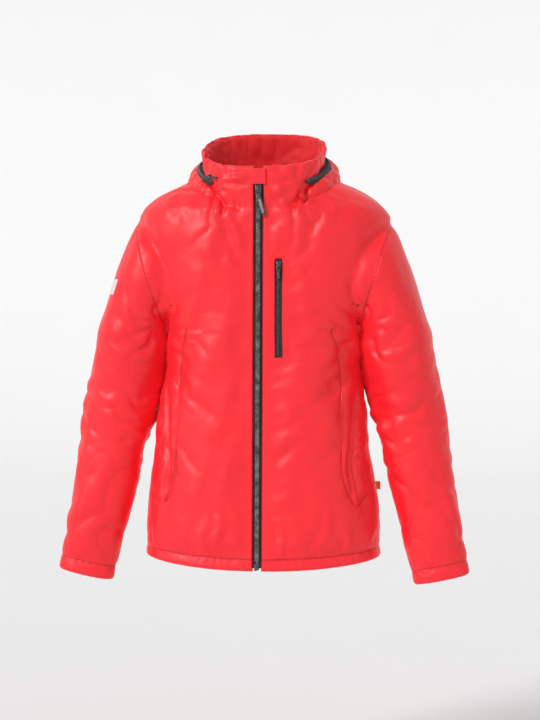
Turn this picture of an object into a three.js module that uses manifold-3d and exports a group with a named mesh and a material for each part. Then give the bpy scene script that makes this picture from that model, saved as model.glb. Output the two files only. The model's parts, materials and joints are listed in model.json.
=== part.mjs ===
// A hip-length padded ski jacket: shell, wadding and lining panels, set-in sleeves, a stand collar
// with a stowed hood behind it, a moulded front zip, a chest zip and two welt pockets. It hangs from
// its neck loop.
// Millimetres, +Z up, the front faces -Y and the wearer's left is +X. The origin is the hanger loop's bight.
import * as THREE from 'three';
import { mergeVertices } from 'three/addons/utils/BufferGeometryUtils.js';
import Module from 'manifold-3d';

const wasm = await Module();
wasm.setup();

// ---------------------------------------------------------------- driving dimensions
// Heights are measured from the hem's lowest point at the centre front.
const gap = 0.3; // running and seam clearance between neighbouring pieces
const layerGap = 0.6; // between the shell, the wadding and the lining
const shellThickness = 1.2;
const paddingThickness = 8;
const liningThickness = 0.8;

const hemHalfWidth = 216;
const waistHalfWidth = 196;
const waistHeight = 230;
const armpitHalfWidth = 177;
const armpitHeight = 434;
const shoulderHalfWidth = 233;
const shoulderHeight = 614;
const shoulderTopHeight = 707;
const hemFrontDepth = 121; // distance of the zip line in front of the body's middle at the hem
const zipLean = 0.0455; // how far the zip line falls back for each millimetre of height
const hemBackDepth = 112;
const chestBackDepth = 126;
const chestHeight = 500;
const hemSideLift = 15; // the hem rises at the side seams
const hemBandHeight = 21;
const sideSeamDepth = 8; // the side and shoulder seams lie in this plane behind the middle
const bodySquareness = 2.4; // superellipse exponent of the body's sections

const neckFrontHeight = 640;
const neckBackHeight = 716;
const neckSideLift = 22;
const neckHalfWidth = 104;
const collarFrontHeight = 82;
const collarBackHeight = 72;
const collarFlare = 8;
const collarCentreDepth = 6;

const sleeveAngle = 12; // degrees off the vertical at rest
const elbowStandOff = 48; // from the hem's half width to the elbow's middle
const elbowX = hemHalfWidth + elbowStandOff;
const elbowHeight = 275;
const bicepsDistance = 110; // from the elbow up to the end of the sleeve head
const forearmLength = 306;
const elbowSectionHalf = 62; // half length of the part of the sleeve that folds
const bicepsHalfWidth = 62;
const elbowHalfWidth = 65;
const cuffHalfWidth = 52;
const armholeHalfDepth = 80;
const bicepsHalfDepth = 74;
const elbowHalfDepth = 55;
const cuffHalfDepth = 28;
const cuffBandLength = 26;
const cuffBandThickness = 6;
const cuffElasticWidth = 16;
const cuffForward = 26; // how far the cuff hangs in front of the elbow

const zipOpeningHalf = 7.5; // from the zip's middle to the shell's folded edge
const toothHalf = 3.7;
const toothDepth = 4.2;
const toothProud = 0.8;
const tapeHalf = 17.6;
const tapeThickness = 0.8;
const tapeInset = 2.3;
const stormFlapThickness = 3.5;
const zipBottom = 14;
const zipTopMargin = 34; // from the top of the teeth to the collar's edge
const guardHalf = 13; // half width of the chin guard over the zip's top
const sliderLength = 15;
const sliderWidth = 11;
const sliderThickness = 3.2;
const mainPullLength = 47;
const mainPullWidth = 8;
const mainPullSlant = 16; // degrees to the wearer's left
const pivotProud = 1.25; // from a slider's plate to its pull's pivot
const pinLength = 10.7;
const pinDepth = 2.6;

const chestZipX = 36.5;
const chestZipBottom = 380;
const chestZipLength = 178;
const chestZipWidth = 14;
const chestSliderWidth = 9;
const chestSliderLength = 12;
const chestPullLength = 24;
const chestPullWidth = 5;
const chestBagWidth = 120;
const chestBagDrop = 40;

const hoodZipRadius = 118;
const hoodZipTilt = 20.6; // degrees that the hood zip's plane rises towards the back
const hoodZipCentreHeight = 722;
const hoodZipEnd = 46; // degrees that each end of the hood zip reaches past the side of the neck
const hoodPouchRadius = 121;
const hoodPouchHalfWidth = 20;
const hoodPouchHalfHeight = 27;
const hoodPouchWall = 2.5;
const hoodCoilRadius = 2.8;
const hoodPullLength = 20;

const pocketStandOff = 9; // mouth gap between the body and the pocket's welt
const pocketWeltThickness = 3;
const pocketSeam = 6;
const pocketBagDepth = 95;

const tabHeight = 142;
const tabWidth = 15;
const tabReach = 7;
const tabThickness = 1.6;
const patchHeight = 505;
const patchLength = 28;
const patchWidth = 44;
const patchThickness = 0.7;

const hangerSpan = 34;
const hangerBulge = 11;
const hangerTape = 1.4;
const hangerWidth = 8;

const farAway = 500;
const bodySides = 20;
const sleeveSides = 12;
const paddingFrom = shellThickness + layerGap;
const liningFrom = paddingFrom + paddingThickness + layerGap;
const layersDepth = liningFrom + liningThickness;

// ---------------------------------------------------------------- materials
function material(name, color, roughness, metalness = 0) {
  return new THREE.MeshStandardMaterial({ name, color, roughness, metalness });
}
const shellRed = () => material('shell', 0xe8262c, 0.62);
const liningRed = () => material('lining', 0xb8161d, 0.7);
const waddingWhite = () => material('wadding', 0xe9e6df, 0.95);
const tapeBlack = () => material('zip_tape', 0x1b1718, 0.85);
const toothGrey = () => material('zip_tooth', 0x8d8984, 0.42);
const trimDark = () => material('zip_metal', 0x35302f, 0.4, 0.6);
const elasticBlack = () => material('elastic', 0x2a2422, 0.8);

// ---------------------------------------------------------------- solids
function solid(geometry) {
  const plain = new THREE.BufferGeometry();
  plain.setAttribute('position', geometry.getAttribute('position'));
  plain.setIndex(geometry.index);
  const merged = mergeVertices(plain, 1e-4);
  const vertProperties = new Float32Array(merged.getAttribute('position').array);
  const triVerts = new Uint32Array(merged.index.array);
  return new wasm.Manifold(new wasm.Mesh({ numProp: 3, vertProperties, triVerts }));
}

// The largest connected piece of a cut solid: cuts can leave slivers where facets graze.
function mainPiece(body) {
  const pieces = body.decompose();
  return pieces.reduce((best, piece) => (piece.volume() > best.volume() ? piece : best));
}

const jacket = new THREE.Group();
jacket.name = 'ski_jacket';

function add(name, body, surface) {
  const { vertProperties, triVerts } = mainPiece(body).getMesh();
  const geometry = new THREE.BufferGeometry();
  geometry.setAttribute('position', new THREE.BufferAttribute(vertProperties, 3));
  geometry.setIndex(new THREE.BufferAttribute(triVerts, 1));
  geometry.computeVertexNormals();
  const mesh = new THREE.Mesh(geometry, surface);
  mesh.name = name;
  jacket.add(mesh);
  return mesh;
}

function box(from, to, matrix = new THREE.Matrix4()) {
  const geometry = new THREE.BoxGeometry(to[0] - from[0], to[1] - from[1], to[2] - from[2]);
  geometry.translate((from[0] + to[0]) / 2, (from[1] + to[1]) / 2, (from[2] + to[2]) / 2);
  return solid(geometry.applyMatrix4(matrix));
}

// A closed solid through rings of points. Each end has a rim strip at the ring's own height, so that a
// wall cut from it ends on a clean edge, and the rest of the end runs to the ring's middle.
function loft(rings, rim = 24) {
  const inward = (ring) => {
    const middle = centreOf(ring);
    return ring.map((p) => {
      const flat = new THREE.Vector3().subVectors(middle, p).setZ(0);
      return p.clone().add(flat.setLength(Math.min(rim, flat.length() / 2)));
    });
  };
  return skin([inward(rings[0]), ...rings, inward(rings[rings.length - 1])]);
}

function centreOf(ring) {
  const sum = ring.reduce((total, p) => total.add(p), new THREE.Vector3());
  return sum.divideScalar(ring.length);
}

function skin(rings) {
  const sides = rings[0].length;
  const points = rings.flat();
  const first = points.push(centreOf(rings[0])) - 1;
  const last = points.push(centreOf(rings[rings.length - 1])) - 1;
  const top = (rings.length - 1) * sides;
  const index = [];
  for (let j = 0; j < sides; j += 1) {
    const next = (j + 1) % sides;
    index.push(first, next, j, last, top + j, top + next);
    for (let i = 0; i < rings.length - 1; i += 1) {
      const low = i * sides;
      const high = low + sides;
      index.push(low + j, low + next, high + next, low + j, high + next, high + j);
    }
  }
  const geometry = new THREE.BufferGeometry().setFromPoints(points);
  geometry.setIndex(signedVolume(points, index) < 0 ? index.reverse() : index);
  return solid(geometry);
}

function signedVolume(points, index) {
  let volume = 0;
  for (let i = 0; i < index.length; i += 3) {
    const [a, b, c] = [points[index[i]], points[index[i + 1]], points[index[i + 2]]];
    volume += a.dot(new THREE.Vector3().crossVectors(b, c));
  }
  return volume;
}

// A smooth curve through [height, value] pairs that never overshoots them.
function profile(pairs) {
  const slopes = pairs.slice(1).map(([h, v], i) => (v - pairs[i][1]) / (h - pairs[i][0]));
  const tangents = pairs.map((_, i) => {
    const [before, after] = [slopes[i - 1] ?? slopes[0], slopes[i] ?? slopes[slopes.length - 1]];
    return before * after > 0 ? (2 * before * after) / (before + after) : 0;
  });
  return (height) => {
    if (height <= pairs[0][0]) return pairs[0][1];
    if (height >= pairs[pairs.length - 1][0]) return pairs[pairs.length - 1][1];
    const i = pairs.findIndex(([h]) => h > height) - 1;
    const span = pairs[i + 1][0] - pairs[i][0];
    const t = (height - pairs[i][0]) / span;
    const [t2, t3] = [t * t, t * t * t];
    return (2 * t3 - 3 * t2 + 1) * pairs[i][1] + (t3 - 2 * t2 + t) * span * tangents[i]
      + (3 * t2 - 2 * t3) * pairs[i + 1][1] + (t3 - t2) * span * tangents[i + 1];
  };
}

// ---------------------------------------------------------------- body shape
const zipLine = (height) => -hemFrontDepth + zipLean * height;
const overShoulder = shoulderTopHeight - shoulderHeight;
const bodyHalfWidth = profile([
  [0, hemHalfWidth],
  [0.5 * waistHeight, hemHalfWidth - 6],
  [waistHeight, waistHalfWidth],
  [armpitHeight, armpitHalfWidth],
  [shoulderHeight, shoulderHalfWidth],
  [shoulderHeight + 0.2 * overShoulder, shoulderHalfWidth - 8],
  [shoulderHeight + 0.42 * overShoulder, shoulderHalfWidth - 26],
  [shoulderTopHeight - 12, neckHalfWidth + 30],
  [shoulderTopHeight, neckHalfWidth + 4],
]);
const ridgeDepth = sideSeamDepth;
const ridgeHalf = 26; // half thickness of the shoulders' ridge at its top
const frontFallsFrom = neckFrontHeight + 2;
const bodyFront = (height) => {
  const share = (height - frontFallsFrom) / (shoulderTopHeight - frontFallsFrom);
  const rise = THREE.MathUtils.clamp(share, 0, 1);
  return THREE.MathUtils.lerp(zipLine(height), ridgeDepth - ridgeHalf, rise);
};
const bodyBack = profile([
  [0, hemBackDepth],
  [waistHeight, hemBackDepth - 4],
  [chestHeight, chestBackDepth],
  [shoulderHeight, chestBackDepth - 8],
  [shoulderTopHeight - 45, ridgeDepth + 92],
  [shoulderTopHeight - 20, ridgeDepth + 66],
  [shoulderTopHeight, ridgeDepth + ridgeHalf],
]);
const hemLift = (angle, height) => hemSideLift * Math.cos(angle) ** 2
  * Math.max(0, 1 - height / waistHeight);

function superellipse(angle, exponent) {
  const power = (value) => Math.sign(value) * Math.abs(value) ** (2 / exponent);
  return [power(Math.cos(angle)), power(Math.sin(angle))];
}

function bodyRing(height, inset, drop = 0) {
  const halfWidth = bodyHalfWidth(height) - inset;
  const front = bodyFront(height) + inset;
  const back = bodyBack(height) - inset;
  const sink = inset * THREE.MathUtils.clamp((height - shoulderHeight) / 20, 0, 1);
  return Array.from({ length: bodySides }, (_, j) => {
    const angle = (j / bodySides) * 2 * Math.PI;
    const [x, y] = superellipse(angle, bodySquareness);
    const z = height + hemLift(angle, height) - sink - drop;
    return new THREE.Vector3(halfWidth * x, (front + back) / 2 + ((back - front) / 2) * y, z);
  });
}

function bodySolid(inset) {
  const heights = [0, waistHeight, armpitHeight, shoulderHeight, shoulderHeight + 0.2 * overShoulder,
    shoulderHeight + 0.42 * overShoulder, shoulderTopHeight - 12, shoulderTopHeight];
  const rings = heights.map((height) => bodyRing(height, inset));
  if (inset > 0) rings.unshift(bodyRing(0, inset, 60));
  return loft(rings);
}

// ---------------------------------------------------------------- neck and collar shape
const neckRise = (neckBackHeight - neckFrontHeight) / 2;
const neckBase = (angle) => neckFrontHeight + neckRise * (1 + Math.sin(angle))
  + neckSideLift * Math.cos(angle) ** 2;
const collarRise = (neckBackHeight + collarBackHeight - neckFrontHeight - collarFrontHeight) / 2;
const collarRim = (angle) => neckFrontHeight + collarFrontHeight + collarRise * (1 + Math.sin(angle));

// One ring of the neck: station 0 is the neck seam and 1 is the collar's edge.
function neckRing(station, inset, widen = 0) {
  const frontHeight = neckFrontHeight + station * collarFrontHeight;
  const halfDepth = collarCentreDepth - zipLine(frontHeight) - inset + widen;
  const halfWidth = neckHalfWidth + station * collarFlare - inset + widen;
  return Array.from({ length: bodySides }, (_, j) => {
    const angle = (j / bodySides) * 2 * Math.PI;
    const z = THREE.MathUtils.lerp(neckBase(angle), collarRim(angle), station);
    const y = collarCentreDepth + halfDepth * Math.sin(angle);
    return new THREE.Vector3(halfWidth * Math.cos(angle), y, z);
  });
}

function neckSlope(inset) {
  const low = neckRing(0, inset + 6, 0).map((p) => new THREE.Vector3(p.x * 1.4, p.y, shoulderHeight - 50));
  return loft([low, neckRing(0, inset), neckRing(0.4, inset)]);
}

// The space above the neck seam, up to a station of the collar.
function aboveNeckSeam(station, shift) {
  const raised = (ring) => ring.map((p) => p.setZ(p.z + shift));
  return loft([raised(neckRing(0, 0, 14)), raised(neckRing(station, 0, 14))], 40);
}

const neckTube = (inset) => loft([-0.6, 0.5, 1.6].map((station) => neckRing(station, inset)), 30);
function collarSolid(from, to) {
  return neckTube(from).subtract(neckTube(to)).intersect(aboveNeckSeam(1, 0));
}

// ---------------------------------------------------------------- sleeve shape
const splay = THREE.MathUtils.degToRad(sleeveAngle);
const down = new THREE.Vector2(Math.sin(splay), -Math.cos(splay));
const across = new THREE.Vector2(Math.cos(splay), Math.sin(splay));
const elbowDepth = 6;
const armholeTop = new THREE.Vector2(shoulderHalfWidth, shoulderHeight);
const armpit = new THREE.Vector2(armpitHalfWidth + 1, armpitHeight + 2);

// Distances run down the sleeve from the elbow: negative on the upper arm.
const sleeveHalfWidth = profile([
  [-bicepsDistance, bicepsHalfWidth], [0, elbowHalfWidth], [forearmLength, cuffHalfWidth],
]);
const sleeveHalfDepth = profile([
  [-bicepsDistance, bicepsHalfDepth], [0, elbowHalfDepth], [forearmLength, cuffHalfDepth],
]);
const sleeveForward = profile([[0, 0], [forearmLength, -cuffForward]]);
const onAxis = (distance) => new THREE.Vector2(elbowX, elbowHeight).addScaledVector(down, distance);

// A ring whose widest line runs from the inner point to the outer point in the XZ plane.
function sleeveRing(outer, inner, depth, halfDepth, side, inset) {
  const middle = new THREE.Vector2().addVectors(outer, inner).multiplyScalar(0.5);
  const reach = new THREE.Vector2().subVectors(outer, middle);
  reach.setLength(reach.length() - inset);
  return Array.from({ length: sleeveSides }, (_, j) => {
    const [c, s] = superellipse((j / sleeveSides) * 2 * Math.PI, 2.2);
    const flat = middle.clone().addScaledVector(reach, c);
    return new THREE.Vector3(side * flat.x, depth + (halfDepth - inset) * s, flat.y);
  });
}

function straightRing(distance, side, inset) {
  const middle = onAxis(distance);
  const half = sleeveHalfWidth(distance);
  const outer = middle.clone().addScaledVector(across, half);
  const inner = middle.clone().addScaledVector(across, -half);
  const depth = elbowDepth + sleeveForward(distance);
  return sleeveRing(outer, inner, depth, sleeveHalfDepth(distance), side, inset);
}

function sleeveSolid(side, inset) {
  const middle = onAxis(-bicepsDistance);
  const bicepsOuter = middle.clone().addScaledVector(across, bicepsHalfWidth);
  const bicepsInner = middle.clone().addScaledVector(across, -bicepsHalfWidth);
  const shoulderBend = new THREE.Vector2(armholeTop.x + 29, armholeTop.y - 54);
  const outerCurve = new THREE.QuadraticBezierCurve(armholeTop, shoulderBend, bicepsOuter);
  const innerCurve = new THREE.LineCurve(armpit, bicepsInner);
  const rings = [sleeveRing(armholeTop.clone().add(new THREE.Vector2(-60, -16)),
    armpit.clone().add(new THREE.Vector2(-40, 20)), ridgeDepth, armholeHalfDepth - 12, side, inset)];
  for (const t of [0, 0.35, 0.7]) {
    const halfDepth = THREE.MathUtils.lerp(armholeHalfDepth, bicepsHalfDepth, t);
    const [outer, inner] = [outerCurve.getPoint(t), innerCurve.getPoint(t)];
    rings.push(sleeveRing(outer, inner, ridgeDepth, halfDepth, side, inset));
  }
  for (const distance of [-bicepsDistance, -elbowSectionHalf, 0, elbowSectionHalf,
    0.6 * forearmLength, forearmLength]) {
    rings.push(straightRing(distance, side, inset));
  }
  if (inset > 0) {
    const last = rings[rings.length - 1];
    rings.push(last.map((p) => p.clone().add(new THREE.Vector3(side * 60 * down.x, 0, 60 * down.y))));
  }
  return skin(rings);
}

// A slab across the sleeve between two distances down it.
function sleeveSlab(side, from, to) {
  const origin = onAxis(0);
  const turn = new THREE.Matrix4().makeRotationY(-side * splay);
  turn.setPosition(side * origin.x, 0, origin.y);
  return box([-200, -200, -to], [200, 200, -from], turn);
}

// The region outside the armhole seam, which runs on down between the body and the sleeve.
function sleeveRegion(side, shift) {
  const seam = new THREE.Vector2().subVectors(armholeTop, armpit);
  const above = armholeTop.clone().addScaledVector(seam, 0.6);
  const between = [
    armpit.clone(),
    new THREE.Vector2((bodyHalfWidth(elbowHeight + 60) + innerEdge(elbowHeight + 60)) / 2, elbowHeight + 60),
    new THREE.Vector2((bodyHalfWidth(waistHeight) + innerEdge(waistHeight)) / 2, waistHeight),
    new THREE.Vector2((hemHalfWidth + innerEdge(0)) / 2, -80),
  ];
  const outline = [above, ...between, new THREE.Vector2(600, -80), new THREE.Vector2(600, above.y)];
  const shape = new THREE.Shape(outline.map((p) => new THREE.Vector2(side * (p.x + shift), p.y)));
  const geometry = new THREE.ExtrudeGeometry(shape, { depth: 500, bevelEnabled: false });
  geometry.translate(0, 0, -250).rotateX(Math.PI / 2);
  return solid(geometry);
}

function innerEdge(height) {
  const distance = (elbowHeight - height) / Math.cos(splay);
  return onAxis(distance).x - sleeveHalfWidth(distance) / Math.cos(splay);
}

// ---------------------------------------------------------------- shared volumes
const sides = { left: 1, right: -1 };
const volumes = new Map();
function garment(inset) {
  if (!volumes.has(inset)) {
    const sleeves = sleeveSolid(1, inset).add(sleeveSolid(-1, inset));
    const whole = bodySolid(inset).add(neckSlope(inset)).add(sleeves);
    volumes.set(inset, whole);
  }
  return volumes.get(inset);
}
const wall = (from, to) => garment(from).subtract(garment(to));

const big = 1000;
const behindSeam = box([-big, sideSeamDepth + gap / 2, -big], [big, big, big]);
const leftHalf = box([zipOpeningHalf, -big, -big], [big, sideSeamDepth - gap / 2, big]);
const rightHalf = box([-big, -big, -big], [-zipOpeningHalf, sideSeamDepth - gap / 2, big]);
const frontEdges = box([-tapeHalf - gap, -big, -big], [tapeHalf + gap, 0, big]);
const centreGap = box([-zipOpeningHalf, -big, -big], [zipOpeningHalf, 0, big]);

function hemZone(height) {
  const widen = -40;
  const rings = [bodyRing(0, widen, 200), bodyRing(0, widen, -height)];
  return loft(rings, 90);
}

const sleeveRegions = { left: sleeveRegion(1, gap / 2), right: sleeveRegion(-1, gap / 2) };
const besideSleeves = sleeveRegion(1, -gap / 2).add(sleeveRegion(-1, -gap / 2));

const layers = [
  { layer: 'shell', from: 0, to: shellThickness, surface: shellRed },
  { layer: 'padding', from: paddingFrom, to: paddingFrom + paddingThickness, surface: waddingWhite },
  { layer: 'lining', from: liningFrom, to: layersDepth, surface: liningRed },
];

// A frame whose +Z runs up the zip line and whose y = 0 is the shell's face.
const leanAngle = Math.atan(zipLean);
const zipFrame = new THREE.Matrix4().makeRotationX(-leanAngle).setPosition(0, -hemFrontDepth, 0);
const alongZip = (height) => height / Math.cos(leanAngle);
const inZip = (from, to) => box(from, to, zipFrame);
const zipRecess = inZip([-tapeHalf - gap, tapeInset - gap, -80], [tapeHalf + gap, 80, 900]);

// ---------------------------------------------------------------- chest zip
const chestZipTop = chestZipBottom + chestZipLength;
const [facetX, facetY] = superellipse((2 * Math.PI) / bodySides - Math.PI / 2, bodySquareness);
// The shell's flat facet beside the middle falls back from the zip line towards the side.
const chestFace = (chestZipX / (armpitHalfWidth * facetX)) * chestBackDepth * (1 + facetY);
const chestZipMiddle = (chestZipBottom + chestZipTop) / 2;

function roundedStrip(width, length, thickness, x, y, z) {
  const radius = width / 2;
  const shape = new THREE.Shape();
  shape.absarc(0, length / 2 - radius, radius, 0, Math.PI);
  shape.absarc(0, radius - length / 2, radius, Math.PI, 2 * Math.PI);
  const options = { depth: thickness, bevelEnabled: false, curveSegments: 6 };
  const geometry = new THREE.ExtrudeGeometry(shape, options);
  geometry.rotateX(Math.PI / 2).translate(x, y + thickness, z);
  return solid(geometry.applyMatrix4(zipFrame));
}

const chestWindow = roundedStrip(chestZipWidth + 2 * gap, chestZipLength + 2 * gap, 12, chestZipX, -5,
  chestZipMiddle);
const chestBagRegion = box(
  [tapeHalf + 4, -200, chestZipBottom - chestBagDrop],
  [tapeHalf + 4 + chestBagWidth, 0, chestZipTop + 10],
);
const grow = (body, by) => {
  const { min, max } = body.boundingBox();
  return box(min.map((v) => v - by), max.map((v) => v + by));
};

// ---------------------------------------------------------------- hand pockets
// The welt's outline in the XZ plane: a straight sewn edge in front and a slant below, open at the side.
const pocketOutline = [[144, 318], [150, 178], [172, 112], [196, 128], [188, 226], [176, 318], [160, 340]];
function pocketPrism(side, inset = 0) {
  const centre = new THREE.Vector2(168, 226);
  const shape = new THREE.Shape(pocketOutline.map(([x, z]) => {
    const p = new THREE.Vector2(x, z);
    const toOpen = x > centre.x + 4;
    const away = p.clone().sub(centre);
    p.addScaledVector(away.normalize(), toOpen ? 0 : -inset);
    return new THREE.Vector2(side * (p.x + (toOpen ? inset * 4 : 0)), p.y);
  }));
  const geometry = new THREE.ExtrudeGeometry(shape, { depth: 200, bevelEnabled: false });
  geometry.rotateX(Math.PI / 2);
  return solid(geometry);
}
const pocketBagPrism = (side) => box(
  side > 0 ? [150 - pocketBagDepth, -200, 118] : [-150, -200, 118],
  side > 0 ? [150, 0, 300] : [pocketBagDepth - 150, 0, 300],
);

// ---------------------------------------------------------------- panels
const neckCut = aboveNeckSeam(3, -gap);
const hemCut = hemZone(hemBandHeight + gap);
const panels = { back: behindSeam, left_front: leftHalf, right_front: rightHalf };

for (const { layer, from, to, surface } of layers) {
  let body = wall(from, to).subtract(besideSleeves).subtract(neckCut).subtract(hemCut);
  if (layer !== 'shell') body = body.subtract(frontEdges);
  if (layer === 'shell') body = body.subtract(chestWindow).subtract(zipRecess);
  if (layer === 'padding') {
    body = body.subtract(grow(chestBagRegion, gap)).subtract(grow(pocketBagPrism(1), gap))
      .subtract(grow(pocketBagPrism(-1), gap));
  }
  for (const [panel, half] of Object.entries(panels)) {
    add(`${panel}_${layer}`, body.intersect(half), surface());
  }
}

const bagLayer = wall(paddingFrom + 1, paddingFrom + paddingThickness - 1);
add('chest_pocket_bag', bagLayer.intersect(chestBagRegion), liningRed());
for (const [name, side] of Object.entries(sides)) {
  add(`${name}_pocket_bag`, bagLayer.intersect(pocketBagPrism(side)), liningRed());
  const standing = garment(-pocketStandOff - pocketWeltThickness).subtract(garment(-pocketStandOff));
  const seam = garment(-pocketStandOff - pocketWeltThickness).subtract(garment(-gap));
  const edge = seam.intersect(pocketPrism(side).subtract(pocketPrism(side, pocketSeam)));
  add(`${name}_pocket_welt`, standing.intersect(pocketPrism(side)).add(edge), shellRed());
}
add('hem_band', wall(0, layersDepth).intersect(hemZone(hemBandHeight))
  .subtract(centreGap).subtract(zipRecess), shellRed());

// ---------------------------------------------------------------- collar
const collarMiddle = layersDepth / 2;
const collarOuter = collarSolid(0, collarMiddle - gap / 2);
const collarInner = collarSolid(collarMiddle + gap / 2, layersDepth);
add('collar_shell', collarOuter.subtract(centreGap).subtract(zipRecess), shellRed());
add('collar_lining', collarInner.subtract(zipRecess), liningRed());

// ---------------------------------------------------------------- sleeves
for (const [name, side] of Object.entries(sides)) {
  const region = sleeveRegions[name];
  const cuffSeam = forearmLength - cuffBandLength;
  const whole = wall(0, layersDepth).intersect(region);
  const head = sleeveSlab(side, -farAway, -bicepsDistance - gap);
  add(`${name}_sleeve_head`, whole.intersect(head), shellRed());
  add(`${name}_elbow_section`, whole.intersect(
    sleeveSlab(side, -elbowSectionHalf + gap, elbowSectionHalf - gap)), shellRed());
  for (const { layer, from, to, surface } of layers) {
    const tube = wall(from, to).intersect(region);
    add(`${name}_upper_sleeve_${layer}`,
      tube.intersect(sleeveSlab(side, -bicepsDistance, -elbowSectionHalf)), surface());
    add(`${name}_forearm_${layer}`,
      tube.intersect(sleeveSlab(side, elbowSectionHalf, cuffSeam - gap)), surface());
  }
  const cuff = wall(0, cuffBandThickness).intersect(region);
  add(`${name}_cuff_band`, cuff.intersect(sleeveSlab(side, cuffSeam, forearmLength + 50)), shellRed());
  const elastic = wall(cuffBandThickness + gap, cuffBandThickness + gap + 2).intersect(region);
  const elasticFrom = cuffSeam + (cuffBandLength - cuffElasticWidth) / 2;
  add(`${name}_cuff_elastic`,
    elastic.intersect(sleeveSlab(side, elasticFrom, elasticFrom + cuffElasticWidth)), elasticBlack());
}

// ---------------------------------------------------------------- main zip
const zipTop = alongZip(neckFrontHeight + collarFrontHeight - zipTopMargin);
const tapeTop = alongZip(neckFrontHeight + collarFrontHeight - 8);
for (const [name, side] of Object.entries(sides)) {
  const span = (near, far) => (side > 0 ? [near, far] : [-far, -near]);
  const [toothFrom, toothTo] = span(gap / 2, toothHalf);
  const [tapeFrom, tapeTo] = span(toothHalf + gap, tapeHalf);
  const toothBack = toothDepth - toothProud;
  const teeth = inZip([toothFrom, -toothProud, zipBottom], [toothTo, toothBack, zipTop]);
  add(`${name}_zip_teeth`, teeth, toothGrey());
  add(`${name}_zip_tape`, inZip([tapeFrom, tapeInset, zipBottom - 8],
    [tapeTo, tapeInset + tapeThickness, tapeTop]), tapeBlack());
}
const flapFront = toothDepth - toothProud + gap;
add('inner_storm_flap', inZip([-tapeHalf + 1, flapFront, zipBottom + 10],
  [tapeHalf - 1, flapFront + stormFlapThickness, tapeTop]), shellRed());
const pinTop = zipBottom - gap;
const pin = inZip([gap / 2, -toothProud, pinTop - pinLength], [toothHalf, pinDepth, pinTop]);
add('insertion_pin', pin, trimDark());
const retainer = inZip([-toothHalf - 1, -toothProud - 0.6, pinTop - pinLength - 1], [-gap / 2, 2, pinTop]);
add('retainer_box', retainer, trimDark());

const plateFront = -toothProud - gap - sliderThickness;
const sliderTop = zipTop - 1;

function sliderSolid(x, top, width, length, front, back) {
  const plate = box([x - width / 2, front, top - length], [x + width / 2, back, top], zipFrame);
  const bridge = box([x - 1.6, front - 3.6, top - length + 2], [x + 1.6, front + 0.5, top - 2], zipFrame);
  const eye = box([x - 3, front - 2.5, top - length + 3.4], [x + 3, front - 0.001, top - 3.4], zipFrame);
  return plate.add(bridge.subtract(eye));
}

// A pull: a loop round the bridge and a long flat grip that lies on the zip, slanted from the loop's foot.
function pullSolid(x, top, length, width, front, slant) {
  const frame = zipFrame.clone().multiply(new THREE.Matrix4().makeTranslation(x, front, top));
  const foot = -9.6;
  const lean = new THREE.Matrix4().makeRotationY(THREE.MathUtils.degToRad(-slant)).setPosition(0, 0, foot);
  const ring = box([-3.6, -0.6, foot], [3.6, 0.6, 0.6], frame);
  const hole = box([-2.3, -3, foot + 2.2], [2.3, 3, -0.6], frame);
  const grip = box([-width / 2, -1, -length - foot], [width / 2, 0.8, 1.4], frame.clone().multiply(lean));
  return ring.subtract(hole).add(grip);
}

const plateBack = -toothProud - gap;
const mainSlider = sliderSolid(0, sliderTop, sliderWidth, sliderLength, plateFront, plateBack);
add('main_zip_slider', mainSlider, trimDark());
const mainPivotHeight = sliderTop - sliderLength / 2;
const mainPullFront = plateFront - pivotProud;
const mainPull = pullSolid(0, mainPivotHeight, mainPullLength, mainPullWidth, mainPullFront, mainPullSlant);
add('main_zip_pull', mainPull, trimDark());
const guardFront = plateFront + 0.4;
const guardBase = zipTop + gap;
const guardBack = 5;
const guardBlock = inZip([-guardHalf, guardFront, guardBase], [guardHalf, guardBack, tapeTop + 3]);
const guardHollow = inZip([-zipOpeningHalf, -2.4, guardBase - 1], [zipOpeningHalf, guardBack, tapeTop - 4]);
add('chin_guard', guardBlock.subtract(neckTube(-gap)).subtract(guardHollow), shellRed());

// ---------------------------------------------------------------- chest zip pieces
const chestTapeFront = chestFace - 0.2;
const chestTape = roundedStrip(chestZipWidth, chestZipLength, 1, chestZipX, chestTapeFront, chestZipMiddle);
add('chest_zip_tape', chestTape, tapeBlack());
const chestCoilHalf = 1.8;
const chestCoilFront = chestTapeFront - gap - 1.8;
add('chest_zip_coil', inZip([chestZipX - chestCoilHalf, chestCoilFront, chestZipBottom + 5],
  [chestZipX + chestCoilHalf, chestTapeFront - gap, chestZipTop - 4]), toothGrey());
const chestSliderTop = chestZipTop - 6;
const chestPlateFront = chestCoilFront - gap - 2.4;
const chestPlateBack = chestCoilFront - gap;
const chestSlider = sliderSolid(
  chestZipX, chestSliderTop, chestSliderWidth, chestSliderLength, chestPlateFront, chestPlateBack);
add('chest_zip_slider', chestSlider, trimDark());
const chestPivotHeight = chestSliderTop - chestSliderLength / 2;
const chestPullFront = chestPlateFront - pivotProud;
const chestPull = pullSolid(chestZipX, chestPivotHeight, chestPullLength, chestPullWidth, chestPullFront, 0);
add('chest_zip_pull', chestPull, trimDark());

// ---------------------------------------------------------------- hood pouch and hood zip
const hoodTilt = THREE.MathUtils.degToRad(hoodZipTilt);
const hoodFrame = new THREE.Matrix4().makeRotationX(hoodTilt)
  .setPosition(0, collarCentreDepth + 6, hoodZipCentreHeight);
const hoodFrom = THREE.MathUtils.degToRad(-hoodZipEnd);
const hoodTo = THREE.MathUtils.degToRad(180 + hoodZipEnd);

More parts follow.
